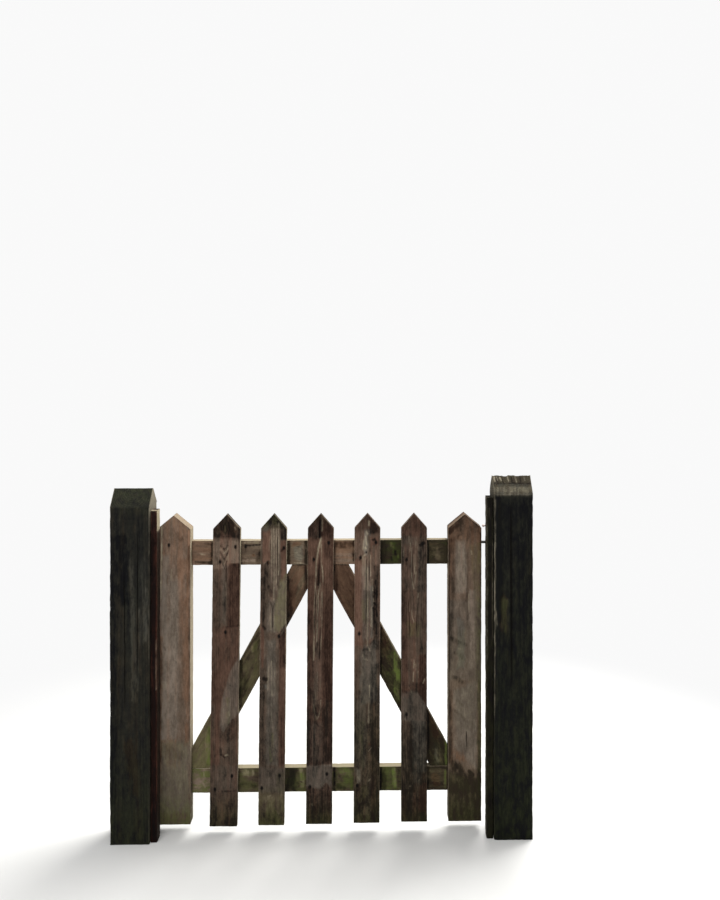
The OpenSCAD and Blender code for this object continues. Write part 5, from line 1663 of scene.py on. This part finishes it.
def screw_head(name, body, slot, x, z, face):
    """A countersunk screw head with a slot, just below the garden side of a plate."""
    points, faces = [], []
    cos, sin = math.cos(screw_turn(name)), math.sin(screw_turn(name))

    def place(u, v, h):
        return x + u * cos - v * sin, face + h, z + u * sin + v * cos

    edge = math.asin(SLOT_HALF / SCREW_R)
    arc = [edge + (math.pi - 2 * edge) * i / ARC_PARTS for i in range(ARC_PARTS + 1)]
    n = len(arc)
    for way in (1, -1):
        first = len(points)
        rim = [(SCREW_R * math.cos(a), way * SCREW_R * math.sin(a)) for a in arc]
        points += [place(u, v, SCREW_TOP) for u, v in rim]
        # The wall of the slot is upright and the rest of the rim leans inward
        for i, (u, v) in enumerate(rim):
            points.append(place(u * FLOOR_PART, v if i in (0, n - 1) else v * FLOOR_PART, SLOT_FLOOR))
        half = [tuple(reversed(range(first, first + n))), tuple(range(first + n, first + 2 * n))]
        for i in range(n):
            j = (i + 1) % n
            half.append((first + i, first + j, first + n + j, first + n + i))
        faces += half if way > 0 else [tuple(reversed(part)) for part in half]
    small_piece(name, points, faces, HINGE_IRON if slot == "hinge_iron" else LATCH_IRON, body)
    turned_disc(name + "_core", (x, face + SLOT_FLOOR, z), 1, CORE, CORE_SIDES, NAIL_IRON, body)


def make_screws():
    """Screws in the plates on the garden side, in their countersunk holes."""
    for where in ("top", "bottom"):
        low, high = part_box(where + "_hinge_plate")
        middle_x, middle_z, face = low.x + PLATE_MIDDLE, (low.z + high.z) / 2, low.y + HINGE_IRON_T
        for i, (dx, dz) in enumerate(PLATE_SCREWS, 1):
            screw_head(f"{where}_plate_screw_{i}", "posts", "hinge_iron", middle_x + dx, middle_z + dz, face)
        low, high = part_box(where + "_hinge_pin")
        axis_x = (low.x + high.x) / 2
        for i, (dx, dz) in enumerate(STRAP_SCREWS, 1):
            screw_head(f"{where}_strap_screw_{i}", "leaf", "hinge_iron", axis_x + dx, middle_z + dz, face)
    low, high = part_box("latch_striker")
    x, face = low.x + STRIKER_SCREW_IN, low.y + LATCH_IRON_T
    for i, z in enumerate((low.z + SCREW_FROM_END, high.z - SCREW_FROM_END), 1):
        screw_head(f"striker_screw_{i}", "leaf", "latch_iron", x, z, face)
    low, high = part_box("latch_catch")
    face = low.y + LATCH_IRON_T
    places = [(x, z) for z in (low.z + SCREW_FROM_END, high.z - SCREW_FROM_END)
              for x in (low.x + CATCH_SCREW_IN, high.x - CATCH_SCREW_IN)]
    for i, (x, z) in enumerate(places, 1):
        screw_head(f"catch_screw_{i}", "posts", "latch_iron", x, z, face)


def metal_of(node):
    """The finish of an iron solid, or None for timber."""
    if node.startswith(("top_hinge_", "bottom_hinge_")):
        return HINGE_IRON
    if node == "latch_pawl":
        return PAWL_IRON
    if node.startswith("latch_") and not node.startswith("latch_post"):
        return LATCH_IRON
    return None


def dress_iron():
    """Finishes for the hinge and latch solids, which keep their own shape."""
    for node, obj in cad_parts.items():
        metal = metal_of(node)
        if metal:
            obj.data.materials.clear()
            obj.data.materials.append(metal)


def make_floor():
    """A plain pale floor, which the camera sees fade to white with distance."""
    corners = [(x * FLOOR_HALF, y * FLOOR_HALF, 0) for x, y in ((-1, -1), (1, -1), (1, 1), (-1, 1))]
    floor = mesh_object("floor", corners, [(0, 1, 2, 3)], smooth_shade=False)
    g = Graph("floor_pale")
    place = g.add("ShaderNodeTexCoord").outputs["Object"]
    matt = g.add("ShaderNodeBsdfDiffuse")
    g.feed(matt.inputs[0], g.mix(g.noise(place, *FLOOR_PATTERN), FLOOR_DARK, FLOOR_LIGHT))
    white = g.add("ShaderNodeEmission")
    g.feed(white.inputs[0], WHITE)
    away = g.add("ShaderNodeVectorMath", operation="SUBTRACT")
    g.feed(away.inputs[0], place)
    away.inputs[1].default_value = (LEAF_CX, 0, 0)
    far = g.add("ShaderNodeVectorMath", operation="LENGTH")
    g.feed(far.inputs[0], away.outputs[0])
    seen = g.add("ShaderNodeLightPath").outputs["Is Camera Ray"]
    both = g.add("ShaderNodeMixShader")
    g.feed(both.inputs[0], g.times(g.rescale(far.outputs["Value"], *FLOOR_FADE), seen))
    g.feed(both.inputs[1], matt.outputs[0])
    g.feed(both.inputs[2], white.outputs[0])
    output = g.add("ShaderNodeOutputMaterial")
    g.feed(output.inputs[0], both.outputs[0])
    floor.data.materials.append(g.material)


def make_sky():
    """Soft light from all round, and a white surround for the camera."""
    world = bpy.data.worlds.new("surround")
    bpy.context.scene.world = world
    world.use_nodes = True
    tree = world.node_tree
    tree.nodes.clear()
    choose = tree.nodes.new("ShaderNodeMixShader")
    rays = tree.nodes.new("ShaderNodeLightPath")
    tree.links.new(rays.outputs["Is Camera Ray"], choose.inputs[0])
    for socket, (colour, strength) in zip(choose.inputs[1:], (SKY_LIGHT, SKY_SEEN)):
        background = tree.nodes.new("ShaderNodeBackground")
        background.inputs[0].default_value = colour
        background.inputs[1].default_value = strength
        tree.links.new(background.outputs[0], socket)
    output = tree.nodes.new("ShaderNodeOutputWorld")
    tree.links.new(choose.outputs[0], output.inputs[0])


def make_lamps():
    """Square soft lamps that face the leaf."""
    for name, (dx, y, z), size, watts, colour in LAMPS:
        data = bpy.data.lights.new(name, "AREA")
        data.shape = "SQUARE"
        data.size = size
        data.energy = watts
        data.color = colour
        obj = bpy.data.objects.new(name, data)
        obj.location = (LEAF_CX + dx, y, z)
        towards = Vector((LEAF_CX, 0, LAMP_TARGET_Z)) - Vector((LEAF_CX + dx, y, z))
        obj.rotation_euler = towards.to_track_quat("-Z", "Y").to_euler()
        bpy.context.scene.collection.objects.link(obj)


def make_camera():
    """A level camera where the photograph's stood, turned and shifted as its frame is."""
    data = bpy.data.cameras.new("camera")
    data.sensor_width = SENSOR_W
    data.lens = SENSOR_W * FOCAL_PX / PHOTO_H
    data.shift_x = (PHOTO_W / 2 - HORIZON_PX[0]) / PHOTO_H
    data.shift_y = (HORIZON_PX[1] - PHOTO_H / 2) / PHOTO_H
    data.clip_end = SEES_TO
    obj = bpy.data.objects.new("camera", data)
    obj.location = CAMERA_AT
    obj.rotation_euler = (math.pi / 2, 0, -CAMERA_TURN)
    bpy.context.scene.collection.objects.link(obj)
    bpy.context.scene.camera = obj


make_camera()
make_leaf()
make_posts()
dress_iron()
make_screws()
make_floor()
make_sky()
make_lamps()
bpy.context.scene.view_settings.view_transform = "Standard"
